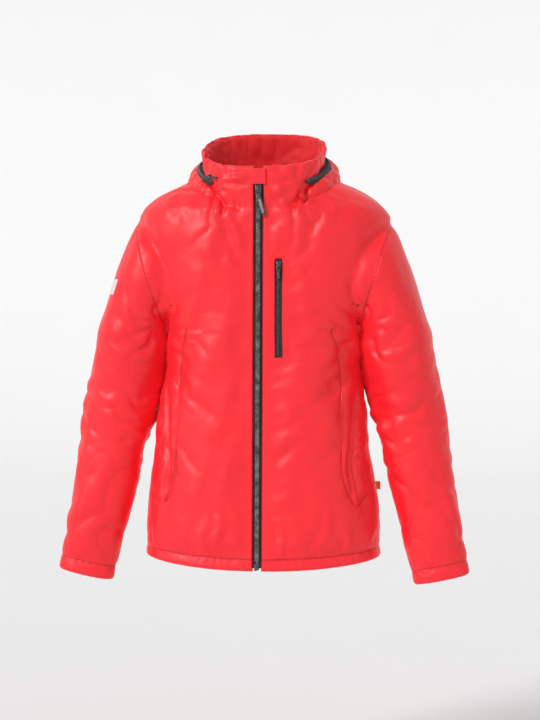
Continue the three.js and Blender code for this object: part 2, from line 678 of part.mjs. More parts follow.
// Rings round a section that is swept about the hood zip's axis, closed at both ends.
function hoodSweep(radius, height, halfWidth, halfHeight, from, to, sections = 12, sides = 8) {
  const rings = Array.from({ length: sections + 1 }, (_, i) => {
    const angle = THREE.MathUtils.lerp(from, to, i / sections);
    return Array.from({ length: sides }, (_, j) => {
      const turn = (j / sides) * 2 * Math.PI + Math.PI / sides;
      const r = radius + halfWidth * Math.cos(turn);
      return new THREE.Vector3(r * Math.cos(angle), r * Math.sin(angle), height + halfHeight * Math.sin(turn))
        .applyMatrix4(hoodFrame);
    });
  });
  return skin(rings);
}

const clearOfNeck = neckTube(-gap).add(garment(-gap));
const pouchHeight = -hoodPouchHalfHeight - 2;
const pouchOuter = hoodSweep(
  hoodPouchRadius, pouchHeight, hoodPouchHalfWidth, hoodPouchHalfHeight, hoodFrom, hoodTo);
const inside = hoodPouchWall;
const hollow = (shrink) => hoodSweep(hoodPouchRadius, pouchHeight, hoodPouchHalfWidth - shrink,
  hoodPouchHalfHeight - shrink, hoodFrom + 0.09 + shrink / 150, hoodTo - 0.09 - shrink / 150);
const mouth = hoodSweep(hoodPouchRadius - 5, 0, 7, hoodPouchHalfHeight * 0.6, hoodFrom + 0.12, hoodTo - 0.12);
const pouch = pouchOuter.subtract(hollow(inside)).subtract(mouth).subtract(clearOfNeck);
add('hood_pouch', pouch, shellRed());
const bundleClear = neckTube(-gap - 2).add(garment(-gap - 2));
add('stowed_hood', hollow(inside + gap).subtract(mouth).subtract(bundleClear), shellRed());

const hoodTape = hoodSweep(hoodZipRadius - 7, 0, 14, 0.6, hoodFrom, hoodTo, 12, 4).subtract(clearOfNeck);
add('hood_zip_tape', hoodTape.subtract(pouchOuter), tapeBlack());
const coilHeight = 0.6 + gap + hoodCoilRadius;
add('hood_zip_coil', hoodSweep(hoodZipRadius, coilHeight, hoodCoilRadius, hoodCoilRadius,
  hoodFrom + 0.02, hoodTo - 0.02, 24, 6).subtract(clearOfNeck), toothGrey());

const hoodSliderHeight = coilHeight + hoodCoilRadius + gap;
const hoodSliderAngle = hoodTo - 0.1;
const onHoodZip = hoodFrame.clone().multiply(new THREE.Matrix4().makeRotationZ(hoodSliderAngle));
const hoodSliderTop = hoodSliderHeight + 2.6;
const hoodBox = (halfWidth, from, to, low, high) => box(
  [hoodZipRadius - halfWidth, from, low], [hoodZipRadius + halfWidth, to, high], onHoodZip);
const hoodArch = hoodBox(1.5, -4, 4, hoodSliderTop - 0.5, hoodSliderTop + 3.4);
const hoodEye = hoodBox(3, -2.6, 2.6, hoodSliderTop, hoodSliderTop + 2.4);
const hoodPlate = hoodBox(4.5, -6, 6, hoodSliderHeight, hoodSliderTop);
add('hood_zip_slider', hoodPlate.add(hoodArch.subtract(hoodEye)), trimDark());
const hoodPivot = hoodSliderTop + 1.2;
const hoodGrip = hoodBox(4.6, -0.6, hoodPullLength, hoodPivot - 0.6, hoodPivot + 0.6);
const hoodGripEye = hoodBox(3, 0.6, 6.4, hoodPivot - 2, hoodPivot + 2);
add('hood_zip_pull', hoodGrip.subtract(hoodGripEye), trimDark());

// ---------------------------------------------------------------- loop, tab and patch
const neckWall = Math.max(...neckRing(0, layersDepth).map((p) => p.y));
const loopHeight = neckBackHeight + 2;
const loopShape = new THREE.Shape();
loopShape.absellipse(0, neckWall + 2, hangerSpan / 2, hangerBulge + 2, Math.PI, 2 * Math.PI);
loopShape.absellipse(0, neckWall + 2, hangerSpan / 2 - hangerTape, hangerBulge + 2 - hangerTape,
  2 * Math.PI, Math.PI, true);
const loopOptions = { depth: hangerWidth, bevelEnabled: false, curveSegments: 10 };
const loopGeometry = new THREE.ExtrudeGeometry(loopShape, loopOptions);
loopGeometry.translate(0, 0, loopHeight);
add('hanger_loop', solid(loopGeometry).intersect(neckTube(layersDepth + gap)), tapeBlack());

const tabEdge = bodyHalfWidth(tabHeight);
const tabStrip = box(
  [tabEdge - tabReach, sideSeamDepth - tabThickness / 2, tabHeight - tabWidth / 2],
  [tabEdge + tabReach, sideSeamDepth + tabThickness / 2, tabHeight + tabWidth / 2]);
add('side_tab', tabStrip.subtract(garment(-gap)), material('tab', 0xe8742a, 0.8));
const patchLayer = garment(-gap - patchThickness).subtract(garment(-gap));
const patchOutline = box(
  [-farAway, -patchWidth, patchHeight - patchLength / 2],
  [-shoulderHalfWidth, 0, patchHeight + patchLength / 2]);
add('sleeve_patch', patchLayer.intersect(patchOutline), material('patch', 0xf0e4e2, 0.8));

// The origin is the middle of the hanger loop's bight.
jacket.position.set(0, hangerBulge - neckWall, -(loopHeight + hangerWidth / 2));

export default jacket;
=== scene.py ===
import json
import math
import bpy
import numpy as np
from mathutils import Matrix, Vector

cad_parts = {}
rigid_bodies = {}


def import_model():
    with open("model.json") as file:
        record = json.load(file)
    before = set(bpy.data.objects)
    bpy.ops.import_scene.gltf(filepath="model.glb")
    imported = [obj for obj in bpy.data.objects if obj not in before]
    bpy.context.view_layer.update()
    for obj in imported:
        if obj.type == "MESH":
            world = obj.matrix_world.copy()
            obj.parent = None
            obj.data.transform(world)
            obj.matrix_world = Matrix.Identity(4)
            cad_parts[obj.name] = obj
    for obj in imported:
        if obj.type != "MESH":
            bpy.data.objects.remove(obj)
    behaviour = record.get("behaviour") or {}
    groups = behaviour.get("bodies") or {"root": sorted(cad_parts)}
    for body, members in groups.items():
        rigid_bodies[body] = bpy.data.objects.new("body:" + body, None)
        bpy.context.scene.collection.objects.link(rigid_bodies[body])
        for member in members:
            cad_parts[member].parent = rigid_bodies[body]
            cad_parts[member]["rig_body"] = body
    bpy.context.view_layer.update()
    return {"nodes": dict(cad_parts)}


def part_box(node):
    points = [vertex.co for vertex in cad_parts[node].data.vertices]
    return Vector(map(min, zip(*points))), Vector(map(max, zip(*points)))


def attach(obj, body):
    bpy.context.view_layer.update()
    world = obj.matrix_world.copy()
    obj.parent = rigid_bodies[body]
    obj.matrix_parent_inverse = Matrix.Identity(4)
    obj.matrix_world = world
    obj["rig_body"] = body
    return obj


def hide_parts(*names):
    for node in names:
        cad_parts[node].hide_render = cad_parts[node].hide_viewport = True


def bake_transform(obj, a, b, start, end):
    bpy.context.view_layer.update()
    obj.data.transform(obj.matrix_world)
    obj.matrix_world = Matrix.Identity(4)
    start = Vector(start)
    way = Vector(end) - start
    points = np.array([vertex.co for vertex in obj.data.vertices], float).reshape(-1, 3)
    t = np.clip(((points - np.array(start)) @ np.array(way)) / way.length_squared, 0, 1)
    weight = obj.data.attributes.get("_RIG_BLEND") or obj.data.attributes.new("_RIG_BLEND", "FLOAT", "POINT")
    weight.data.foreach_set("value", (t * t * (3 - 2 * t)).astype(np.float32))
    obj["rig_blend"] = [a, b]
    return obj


bl_info = {
    "name": "Padded ski jacket",
    "version": (1, 0, 0),
    "blender": (4, 5, 0),
    "location": "View3D > Sidebar > Jacket",
    "description": "Builds a padded ski jacket, its zips and its stowed hood over the packed model",
    "category": "Object",
}

from contextlib import contextmanager

import bmesh
import bpy
import numpy as np
from mathutils import Matrix, Vector, noise
from mathutils.bvhtree import BVHTree

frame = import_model()
LEFT, RIGHT = 1, -1
SIDES = {"left": LEFT, "right": RIGHT}

# The garment's own coordinates are millimetres: x from the zip to the wearer's left, y from the body's
# middle to the back, z up from the hem's lowest point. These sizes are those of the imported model.
MM = 0.001
HEM_HALF_WIDTH = 216.0
WAIST_HALF_WIDTH = 196.0
WAIST_HEIGHT = 230.0
ARMPIT_HALF_WIDTH = 177.0
ARMPIT_HEIGHT = 434.0
SHOULDER_HALF_WIDTH = 233.0
SHOULDER_HEIGHT = 614.0
SHOULDER_TOP = 707.0
HEM_FRONT = 121.0
ZIP_LEAN = 0.0455
HEM_BACK = 112.0
CHEST_BACK = 126.0
CHEST_HEIGHT = 500.0
HEM_SIDE_LIFT = 15.0
HEM_BAND = 21.0
SEAM_DEPTH = 8.0
BODY_SQUARENESS = 2.4
NECK_FRONT = 640.0
NECK_BACK = 716.0
NECK_SIDE_LIFT = 22.0
NECK_HALF_WIDTH = 104.0
COLLAR_FRONT = 82.0
COLLAR_BACK = 72.0
COLLAR_FLARE = 8.0
COLLAR_CENTRE = 6.0
SPLAY = math.radians(12.0)
ELBOW = np.array([264.0, 275.0])
ELBOW_DEPTH = 6.0
BICEPS = 110.0
FOREARM = 306.0
ELBOW_HALF = 62.0
CUFF_BAND = 26.0
CUFF_FORWARD = 26.0
ARMHOLE_HALF_DEPTH = 80.0
ZIP_HALF = 7.5
SLEEVE_SPLIT = -86.0  # where a sleeve's upper piece meets its lower one, down from the elbow
UPPER_BLEND = (-162, -100)  # where a sleeve's upper piece starts and ends its bend at the shoulder

SHIFT = np.array([0.0, -81.68, -722.0])  # the shared frame's origin is the hanger loop's bight


def to_frame(points):
    """Garment millimetres to metres in the shared frame."""
    return (np.asarray(points, float) + SHIFT) * MM


def at(x, y, z):
    return Vector(to_frame([x, y, z]))


# ---------------------------------------------------------------- settings
class JacketSettings(bpy.types.PropertyGroup):
    """Sizes and colours that a user would change."""

    voxel: bpy.props.FloatProperty(
        name="Fabric mesh", description="Size of the fabric's mesh faces before they are divided",
        default=0.0055, min=0.002, max=0.02, unit="LENGTH")
    fullness: bpy.props.FloatProperty(
        name="Fullness", description="Extra cloth in the shell, as a share of its size, that buckles into folds",
        default=0.028, min=0.0, max=0.1)
    largest_move: bpy.props.FloatProperty(
        name="Largest move", description="How far a point of the shell may move while the cloth settles",
        default=0.009, min=0.0, max=0.03, unit="LENGTH")
    wall: bpy.props.FloatProperty(
        name="Wall", description="Thickness of the shell, wadding and lining together",
        default=0.0105, min=0.002, max=0.03, unit="LENGTH")
    tooth_pitch: bpy.props.FloatProperty(
        name="Tooth pitch", description="Distance from one tooth to the next on one tape of the front zip",
        default=0.0025, min=0.001, max=0.02, unit="LENGTH")
    stitch: bpy.props.FloatProperty(
        name="Stitch", description="Length of one stitch and the gap after it",
        default=0.0034, min=0.001, max=0.02, unit="LENGTH")
    shell_red: bpy.props.FloatVectorProperty(
        name="Shell red", description="Colour of the shell fabric", subtype="COLOR", size=3,
        default=(0.92, 0.010, 0.020), min=0.0, max=1.0)
    lining_red: bpy.props.FloatVectorProperty(
        name="Lining red", description="Colour of the collar facing and the lining", subtype="COLOR", size=3,
        default=(0.74, 0.008, 0.013), min=0.0, max=1.0)
    zip_black: bpy.props.FloatVectorProperty(
        name="Zip black", description="Colour of the zip tapes", subtype="COLOR", size=3,
        default=(0.040, 0.034, 0.034), min=0.0, max=1.0)


def settings():
    return bpy.context.scene.jacket_settings


# ---------------------------------------------------------------- materials
def node_material(name):
    material = bpy.data.materials.get(name)
    if material:
        return material, None, None
    material = bpy.data.materials.new(name)
    material.use_nodes = True
    return material, material.node_tree, material.node_tree.nodes["Principled BSDF"]


def add_node(tree, kind, inputs=(), **options):
    node = tree.nodes.new(kind)
    for option, value in options.items():
        setattr(node, option, value)
    for socket, value in dict(inputs).items():
        if isinstance(value, bpy.types.NodeSocket):
            tree.links.new(value, node.inputs[socket])
        else:
            node.inputs[socket].default_value = value
    return node


def maths(tree, operation, *values):
    return add_node(tree, "ShaderNodeMath", dict(enumerate(values)), operation=operation).outputs[0]


def speckle(tree, place, scale, detail, **more):
    inputs = {"Vector": place, "Scale": scale, "Detail": detail, **more}
    return add_node(tree, "ShaderNodeTexNoise", inputs).outputs["Fac"]


def colour_ramp(tree, value, low, high, start=0.0, end=1.0):
    ramp = add_node(tree, "ShaderNodeValToRGB", {"Fac": value})
    for element, position, colour in zip(ramp.color_ramp.elements, (start, end), (low, high)):
        element.position = position
        element.color = (*colour, 1.0)
    return ramp.outputs["Color"]


def map_range(tree, value, low, high, start=0.0, end=1.0, **options):
    """Carries start to low and end to high."""
    inputs = {"Value": value, "From Min": start, "From Max": end, "To Min": low, "To Max": high}
    return add_node(tree, "ShaderNodeMapRange", inputs, **options).outputs["Result"]


def bump(tree, strength, distance, height, **more):
    inputs = {"Strength": strength, "Distance": distance, "Height": height, **more}
    return add_node(tree, "ShaderNodeBump", inputs).outputs["Normal"]


def woven(name, colour, roughness=0.6, sheen=0.25, threads=1800.0, crinkle=0.25, seams=False, gloss=0.35):
    """A woven cloth: crossing threads, a soft crinkle, uneven tone, and stitched seams where asked, whose grooves
    get painted shade.
    """
    material, tree, shader = node_material(name)
    if tree is None:
        return material
    place = add_node(tree, "ShaderNodeTexCoord").outputs["Object"]
    fleck = speckle(tree, place, 420.0, 2.0)
    cloud = speckle(tree, place, 7.0, 3.0)
    tone = maths(tree, "ADD", maths(tree, "MULTIPLY", cloud, 0.7), maths(tree, "MULTIPLY", fleck, 0.3))
    base = colour_ramp(tree, tone, [c * 0.9 for c in colour], [min(1.0, c * 1.07) for c in colour], 0.25, 0.75)
    ways = []
    for direction in ("X", "Z"):
        inputs = {"Vector": place, "Scale": threads / 6.283, "Distortion": 0.6}
        wave = add_node(tree, "ShaderNodeTexWave", inputs, bands_direction=direction)
        ways.append(wave.outputs["Fac"])
    weave = bump(tree, 0.12, 0.0002, maths(tree, "ADD", *ways))
    wrinkle = speckle(tree, place, 55.0, 5.0, Roughness=0.55, Distortion=0.8)
    normal = bump(tree, crinkle, 0.004, wrinkle, Normal=weave)
    if seams:
        seam = add_node(tree, "ShaderNodeAttribute", attribute_name="seam").outputs["Fac"]
        line = map_range(tree, seam, 0.0, 1.0, 0.0, 1.1, interpolation_type="SMOOTHSTEP")
        normal = bump(tree, 0.9, 0.0012, line, Normal=normal)
        # Painted shade: near a seam the colour mixes towards 0.42 of itself, darkening the groove as a shadow
        # would.
        seam_shade = add_node(tree, "ShaderNodeMix", {"Factor": map_range(tree, seam, 0.55, 1.0, 0.2, 1.3)},
                       data_type="RGBA")
        seam_shade.inputs["A"].default_value = (*[c * 0.42 for c in colour], 1.0)
        tree.links.new(base, seam_shade.inputs["B"])
        base = seam_shade.outputs["Result"]
    rough = map_range(tree, fleck, roughness - 0.06, roughness + 0.08)
    tree.links.new(base, shader.inputs["Base Color"])
    tree.links.new(rough, shader.inputs["Roughness"])
    tree.links.new(normal, shader.inputs["Normal"])
    shader.inputs["Sheen Weight"].default_value = sheen
    shader.inputs["Sheen Roughness"].default_value = 0.45
    shader.inputs["Specular IOR Level"].default_value = gloss
    return material


SHELL_FINISH = {"roughness": 0.44, "sheen": 0.05, "gloss": 0.5}


def shell_fabric():
    return woven("shell fabric", settings().shell_red, **SHELL_FINISH, crinkle=0.1, seams=True)


def plain_shell_fabric():
    return woven("shell fabric trim", settings().shell_red, **SHELL_FINISH, crinkle=0.14)


def lining_fabric():
    return woven("lining fabric", settings().lining_red, roughness=0.6, sheen=0.15, threads=2400.0, crinkle=0.1)


def zip_tape():
    return woven("zip tape", settings().zip_black, roughness=0.85, sheen=0.1, threads=3600.0, crinkle=0.05)


def hard(name, colour, roughness, metallic=0.0, wear=0.15, scale=300.0):
    """Moulded plastic or cast metal with uneven gloss and lighter, worn patches."""
    material, tree, shader = node_material(name)
    if tree is None:
        return material
    place = add_node(tree, "ShaderNodeTexCoord").outputs["Object"]
    patch = speckle(tree, place, scale, 4.0)
    base = colour_ramp(tree, patch, colour, [min(1.0, c + wear * (1.0 - c)) for c in colour], 0.35, 0.7)
    tree.links.new(base, shader.inputs["Base Color"])
    rough = map_range(tree, patch, roughness - 0.08, roughness + 0.1)
    tree.links.new(rough, shader.inputs["Roughness"])
    tree.links.new(bump(tree, 0.15, 0.0002, patch), shader.inputs["Normal"])
    shader.inputs["Metallic"].default_value = metallic
    return material


def tooth_plastic():
    """Moulded teeth whose silvery face has rubbed through to the dark plastic in places."""
    return hard("zip tooth", (0.075, 0.066, 0.064), 0.4, metallic=0.25, wear=0.26, scale=95.0)


def dark_metal():
    return hard("dark zip metal", (0.045, 0.04, 0.042), 0.36, metallic=0.7, wear=0.14)


def coil_plastic():
    return hard("coil", (0.022, 0.019, 0.02), 0.3, wear=0.12, scale=600.0)


# ---------------------------------------------------------------- mesh helpers
def linked(name, data):
    piece = bpy.data.objects.new(name, data)
    bpy.context.scene.collection.objects.link(piece)
    return piece


@contextmanager
def editing(mesh):
    """The mesh opened for edits, which are written back at the end."""
    work = bmesh.new()
    work.from_mesh(mesh)
    yield work
    work.to_mesh(mesh)
    work.free()


def read(items, name, width=1, kind=float):
    """One property of all the items, with a row for each."""
    flat = np.empty(len(items) * width, kind)
    items.foreach_get(name, flat)
    return flat.reshape(-1, width) if width > 1 else flat


def mesh_object(name, points, faces, material=None, smooth=True):
    """A mesh object from garment millimetres."""
    mesh = bpy.data.meshes.new(name)
    mesh.from_pydata([tuple(p) for p in to_frame(points)], [], faces)
    mesh.update()
    piece = linked(name, mesh)
    if material:
        mesh.materials.append(material)
    if smooth:
        mesh.shade_smooth()
    return piece


def loft_faces(rows, sides, closed=True, caps=True):
    faces = []
    for i in range(rows - 1):
        for j in range(sides if closed else sides - 1):
            k = (j + 1) % sides
            faces.append((i * sides + j, i * sides + k, (i + 1) * sides + k, (i + 1) * sides + j))
    if caps:
        faces.append(tuple(range(sides - 1, -1, -1)))
        faces.append(tuple((rows - 1) * sides + j for j in range(sides)))
    return faces


def face_outward(piece):
    with editing(piece.data) as work:
        bmesh.ops.recalc_face_normals(work, faces=work.faces)


def positions(piece):
    """The piece's points in garment millimetres."""
    return read(piece.data.vertices, "co", 3) / MM - SHIFT


def set_positions(piece, points):
    piece.data.vertices.foreach_set("co", to_frame(points).ravel())
    piece.data.update()


def normals(piece):
    return read(piece.data.vertices, "normal", 3)


def apply_modifiers(piece):
    """Leaves the evaluated result as the piece's plain mesh."""
    graph = bpy.context.evaluated_depsgraph_get()
    result = bpy.data.meshes.new_from_object(piece.evaluated_get(graph))
    old = piece.data
    piece.modifiers.clear()
    piece.data = result
    result.name = piece.name
    bpy.data.meshes.remove(old)
    return piece


def divide(piece):
    level = piece.modifiers.new("divide", "SUBSURF")
    level.levels = level.render_levels = 1
    apply_modifiers(piece)


def mesh_evenly(piece, voxel):
    """Meshes the piece's outside afresh with even faces, voxel metres across."""
    remesh = piece.modifiers.new("even faces", "REMESH")
    remesh.mode = "VOXEL"
    remesh.voxel_size = voxel
    apply_modifiers(piece)


def thicken(piece, thickness, offset=-1.0):
    thick = piece.modifiers.new("thickness", "SOLIDIFY")
    thick.thickness = thickness * MM
    thick.offset = offset
    apply_modifiers(piece)


def smooth_values(piece, values, rounds, share=0.5):
    """Averages a value, or a row of them, along the mesh's edges."""
    a, b = read(piece.data.edges, "vertices", 2, int).T
    count = np.bincount(np.concatenate([a, b]), minlength=len(values)).astype(float)
    count[count == 0] = 1.0
    values = np.array(values, float)
    for _ in range(rounds):
        total = np.zeros_like(values)
        np.add.at(total, a, values[b])
        np.add.at(total, b, values[a])
        mean = total / (count if values.ndim == 1 else count[:, None])
        values = values + share * (mean - values)
    return values


def step(values, low, high):
    """0 below low and 1 above high, smoothly."""
    t = np.clip((values - low) / (high - low), 0.0, 1.0)
    return t * t * (3.0 - 2.0 * t)


def profile(*pairs):
    """A smooth curve through (height, value) pairs that never overshoots them."""
    heights = np.array([p[0] for p in pairs], float)
    values = np.array([p[1] for p in pairs], float)
    slopes = np.diff(values) / np.diff(heights)
    before = np.concatenate([slopes[:1], slopes])
    after = np.concatenate([slopes, slopes[-1:]])
    safe = np.where(np.abs(before + after) < 1e-12, 1.0, before + after)
    tangents = np.where(before * after > 0, 2 * before * after / safe, 0.0)

    def curve(height):
        h = np.clip(np.asarray(height, float), heights[0], heights[-1])
        i = np.clip(np.searchsorted(heights, h, side="right") - 1, 0, len(slopes) - 1)
        span = heights[i + 1] - heights[i]
        t = (h - heights[i]) / span
        return ((2 * t**3 - 3 * t**2 + 1) * values[i] + (t**3 - 2 * t**2 + t) * span * tangents[i]
                + (3 * t**2 - 2 * t**3) * values[i + 1] + (t**3 - t**2) * span * tangents[i + 1])

    return curve


# ---------------------------------------------------------------- the garment's form
RIDGE = SHOULDER_TOP - SHOULDER_HEIGHT
body_half_width = profile(
    (0, HEM_HALF_WIDTH), (WAIST_HEIGHT / 2, HEM_HALF_WIDTH - 6), (WAIST_HEIGHT, WAIST_HALF_WIDTH),
    (ARMPIT_HEIGHT, ARMPIT_HALF_WIDTH), (SHOULDER_HEIGHT, SHOULDER_HALF_WIDTH),
    (SHOULDER_HEIGHT + 0.2 * RIDGE, SHOULDER_HALF_WIDTH - 8), (SHOULDER_HEIGHT + 0.42 * RIDGE,
    SHOULDER_HALF_WIDTH - 26), (SHOULDER_TOP - 12, NECK_HALF_WIDTH + 30), (SHOULDER_TOP, NECK_HALF_WIDTH + 4))
body_back = profile(
    (0, HEM_BACK), (WAIST_HEIGHT, HEM_BACK - 4), (CHEST_HEIGHT, CHEST_BACK), (SHOULDER_HEIGHT, CHEST_BACK - 8),
    (SHOULDER_TOP - 45, SEAM_DEPTH + 92), (SHOULDER_TOP - 20, SEAM_DEPTH + 66), (SHOULDER_TOP, SEAM_DEPTH + 26))


def zip_line(height):
    return -HEM_FRONT + ZIP_LEAN * np.asarray(height, float)


def body_front(height):
    rise = np.clip((height - NECK_FRONT - 2) / (SHOULDER_TOP - NECK_FRONT - 2), 0, 1)
    return zip_line(height) * (1 - rise) + (SEAM_DEPTH - 26) * rise


def apart(height):
    """How far the sleeve and the body's side are held apart while they are meshed."""
    return 5.0 * step(-height, -ARMPIT_HEIGHT + 4, -ARMPIT_HEIGHT + 44) * step(height, 190.0, 240.0)


def squared(angles, exponent):
    c, s = np.cos(angles), np.sin(angles)
    return np.sign(c) * np.abs(c) ** (2 / exponent), np.sign(s) * np.abs(s) ** (2 / exponent)


def body_ring(height, sides=128):
    x, y = squared(np.arange(sides) / sides * 2 * math.pi, BODY_SQUARENESS)
    front, back = body_front(height), body_back(height)
    half_width = body_half_width(height) - apart(height)
    depth = (front + back) / 2 + (back - front) / 2 * y
    return np.stack([half_width * x, depth, np.full(sides, height)], 1)


def hem_lift(points):
    """How far the hem's line is lifted at a point, by its place round the body."""
    share = points[:, 0] / HEM_HALF_WIDTH
    return HEM_SIDE_LIFT * np.clip(share**2, 0, 1)


def neck_base(angles):
    rise = (NECK_BACK - NECK_FRONT) / 2 * (1 + np.sin(angles))
    return NECK_FRONT + rise + NECK_SIDE_LIFT * np.cos(angles) ** 2


def collar_rim(angles):
    low, high = NECK_FRONT + COLLAR_FRONT, NECK_BACK + COLLAR_BACK
    return low + (high - low) / 2 * (1 + np.sin(angles))


def neck_ring(station, inset=0.0, sides=128):
    angles = np.arange(sides) / sides * 2 * math.pi
    half_depth = COLLAR_CENTRE - zip_line(NECK_FRONT + station * COLLAR_FRONT) - inset
    half_width = NECK_HALF_WIDTH + station * COLLAR_FLARE - inset
    height = neck_base(angles) * (1 - station) + collar_rim(angles) * station
    along, across = squared(angles, 2.0 + 0.75 * min(max(station, 0.0), 1.0))
    return np.stack([half_width * along, COLLAR_CENTRE + half_depth * across, height], 1)


DOWN = np.array([math.sin(SPLAY), -math.cos(SPLAY)])
ACROSS = np.array([math.cos(SPLAY), math.sin(SPLAY)])
sleeve_half_width = profile((-BICEPS, 62), (0, 65), (FOREARM, 52))
sleeve_half_depth = profile((-BICEPS, 74), (0, 55), (FOREARM, 28))
sleeve_forward = profile((0, 0), (FOREARM, -CUFF_FORWARD))
ARMHOLE_TOP = np.array([SHOULDER_HALF_WIDTH, SHOULDER_HEIGHT])
ARMPIT = np.array([ARMPIT_HALF_WIDTH + 1, ARMPIT_HEIGHT + 2])


def on_axis(distance):
    return ELBOW + DOWN * distance


def sleeve_ring(outer, inner, depth, half_depth, side, sides=72):
    middle, reach = (outer + inner) / 2, (outer - inner) / 2
    c, s = squared(np.arange(sides) / sides * 2 * math.pi, 2.15)
    flat = middle + c[:, None] * reach
    flat[:, 0] += apart(middle[1])
    return np.stack([side * flat[:, 0], depth + half_depth * s, flat[:, 1]], 1)


def sleeve_rings(side):
    middle = on_axis(-BICEPS)
    outer_end, inner_end = middle + ACROSS * 62, middle - ACROSS * 62
    bend = ARMHOLE_TOP + np.array([29.0, -54.0])
    rings = [sleeve_ring(ARMHOLE_TOP + outer, ARMPIT + inner, SEAM_DEPTH, ARMHOLE_HALF_DEPTH - less, side)
             for outer, inner, less in (([-60, -16], [-40, 20], 14), ([-22, -6], [-14, 8], 4))]
    for t in np.linspace(0, 1, 16, endpoint=False):
        outer = ARMHOLE_TOP * (1 - t) ** 2 + bend * 2 * t * (1 - t) + outer_end * t**2
        inner = ARMPIT * (1 - t) + inner_end * t
        half_depth = ARMHOLE_HALF_DEPTH * (1 - t) + 74 * t
        rings.append(sleeve_ring(outer, inner, SEAM_DEPTH, half_depth, side))
    for distance in np.linspace(-BICEPS, FOREARM + 24, 60):
        half = sleeve_half_width(distance)
        depth = ELBOW_DEPTH + sleeve_forward(distance)
        outer, inner = on_axis(distance) + ACROSS * half, on_axis(distance) - ACROSS * half
        rings.append(sleeve_ring(outer, inner, depth, sleeve_half_depth(distance), side))
    return rings


def sleeve_distance(points):
    """How far down a sleeve a point is, from the elbow."""
    return (np.abs(points[:, 0]) - ELBOW[0]) * DOWN[0] + (points[:, 2] - ELBOW[1]) * DOWN[1]


def sleeve_boundary(height):
    """The half width where the sleeve's side ends and the body's begins."""
    height = np.asarray(height, float)
    inner = ELBOW[0] + (ELBOW[1] - height) * math.tan(SPLAY) - 64.0 / math.cos(SPLAY)
    below = (body_half_width(height) + inner) / 2
    seam = ARMPIT[0] + (height - ARMPIT[1]) * (ARMHOLE_TOP[0] - ARMPIT[0]) / (ARMHOLE_TOP[1] - ARMPIT[1])
    share = step(height, ARMPIT_HEIGHT - 40, ARMPIT_HEIGHT)
    return np.where(height > ARMPIT_HEIGHT, seam, below * (1 - share) + ARMPIT[0] * share)


def in_sleeve(points):
    return np.abs(points[:, 0]) > sleeve_boundary(points[:, 2])


def closed_form():
    """The jacket's outer form as one closed, evenly meshed skin."""
    neck_low = neck_ring(0, 8)
    neck_low[:, 0] *= 1.4
    neck_low[:, 2] = SHOULDER_HEIGHT - 50
    neck_mid = neck_ring(0, -1)
    parts = [
        [body_ring(h) for h in np.concatenate([[-30.0], np.linspace(0, SHOULDER_TOP, 90)])],
        [neck_low, neck_mid] + [neck_ring(s) for s in np.linspace(0.1, 1.35, 14)],
        sleeve_rings(LEFT), sleeve_rings(RIGHT),
    ]
    points, faces, start = [], [], 0
    for rings in parts:
        faces += [tuple(start + i for i in face) for face in loft_faces(len(rings), len(rings[0]))]
        points += rings
        start += sum(len(ring) for ring in rings)
    form = mesh_object("form", np.concatenate(points), faces)
    face_outward(form)
    mesh_evenly(form, settings().voxel * (1.0))
    return form


# ---------------------------------------------------------------- settling and shaping the cloth
FRAMES = 20
CLOTH = {"quality": 4, "mass": 0.25, "tension_stiffness": 12, "compression_stiffness": 12, "shear_stiffness": 4,
         "bending_stiffness": 0.9, "tension_damping": 8, "compression_damping": 8, "use_pressure": True,
         "uniform_pressure_force": 4, "vertex_group_mass": "held"}
ZIP_BAND = 16.0
RIM_SLOPE = 33.0 / 94.15
RIM_HEIGHT = 755.0
CHEST_ZIP = (36.5, 381.0, 557.0)
SLOT_HALF = 6.6
POCKET_EDGE = np.array([(130, 436), (144, 318), (147, 250), (150, 178), (160, 138), (172, 112), (184, 112),
                        (196, 128)])
POCKET_GAPE = np.array([(168, 345), (166, 300), (163, 240), (164, 180), (172, 128)])
GATHERS = {"left": (79.0, 697.0), "right": (-83.0, 689.0)}


def rim_drop(points):
    """How far a point lies below the plane of the collar's rim."""
    return (RIM_HEIGHT + RIM_SLOPE * (points[:, 1] - COLLAR_CENTRE) - points[:, 2]) / math.hypot(1, RIM_SLOPE)


def noise_at(points, size, seed):
    """Smooth noise between about -1 and 1 with lumps of that size in millimetres, or a size for each axis."""
    scaled = points / np.asarray(size, float) + seed * 17.3
    return np.array([noise.noise(Vector(p)) for p in scaled]) * 1.6


def near_path(points, path):
    """Distance in the front view from a polyline of (x, z) points, and how far along it the nearest spot is."""
    best = np.full(len(points), 1e9)
    along = np.zeros(len(points))
    start = 0.0
    flat = points[:, [0, 2]]
    for a, b in zip(path[:-1], path[1:]):
        edge = b - a
        length = np.linalg.norm(edge)
        t = np.clip((flat - a) @ edge / length**2, 0, 1)
        away = np.linalg.norm(flat - a - t[:, None] * edge, axis=1)
        nearer = away < best
        best = np.where(nearer, away, best)
        along = np.where(nearer, start + t * length, along)
        start += length
    return best, along


def chest_slot(points):
    """Distance in the front view from the chest zip's slot."""
    middle, low, high = CHEST_ZIP
    return np.hypot(np.maximum(np.abs(points[:, 0] - middle) - SLOT_HALF, 0),
                    np.maximum(np.maximum(low - points[:, 2], points[:, 2] - high), 0))


def lobes(turns):
    """Rounded folds with a sharp crease between one and the next, from -1 to 1."""
    return 2.0 * np.abs(np.sin(math.pi * turns)) ** 0.75 - 1.0


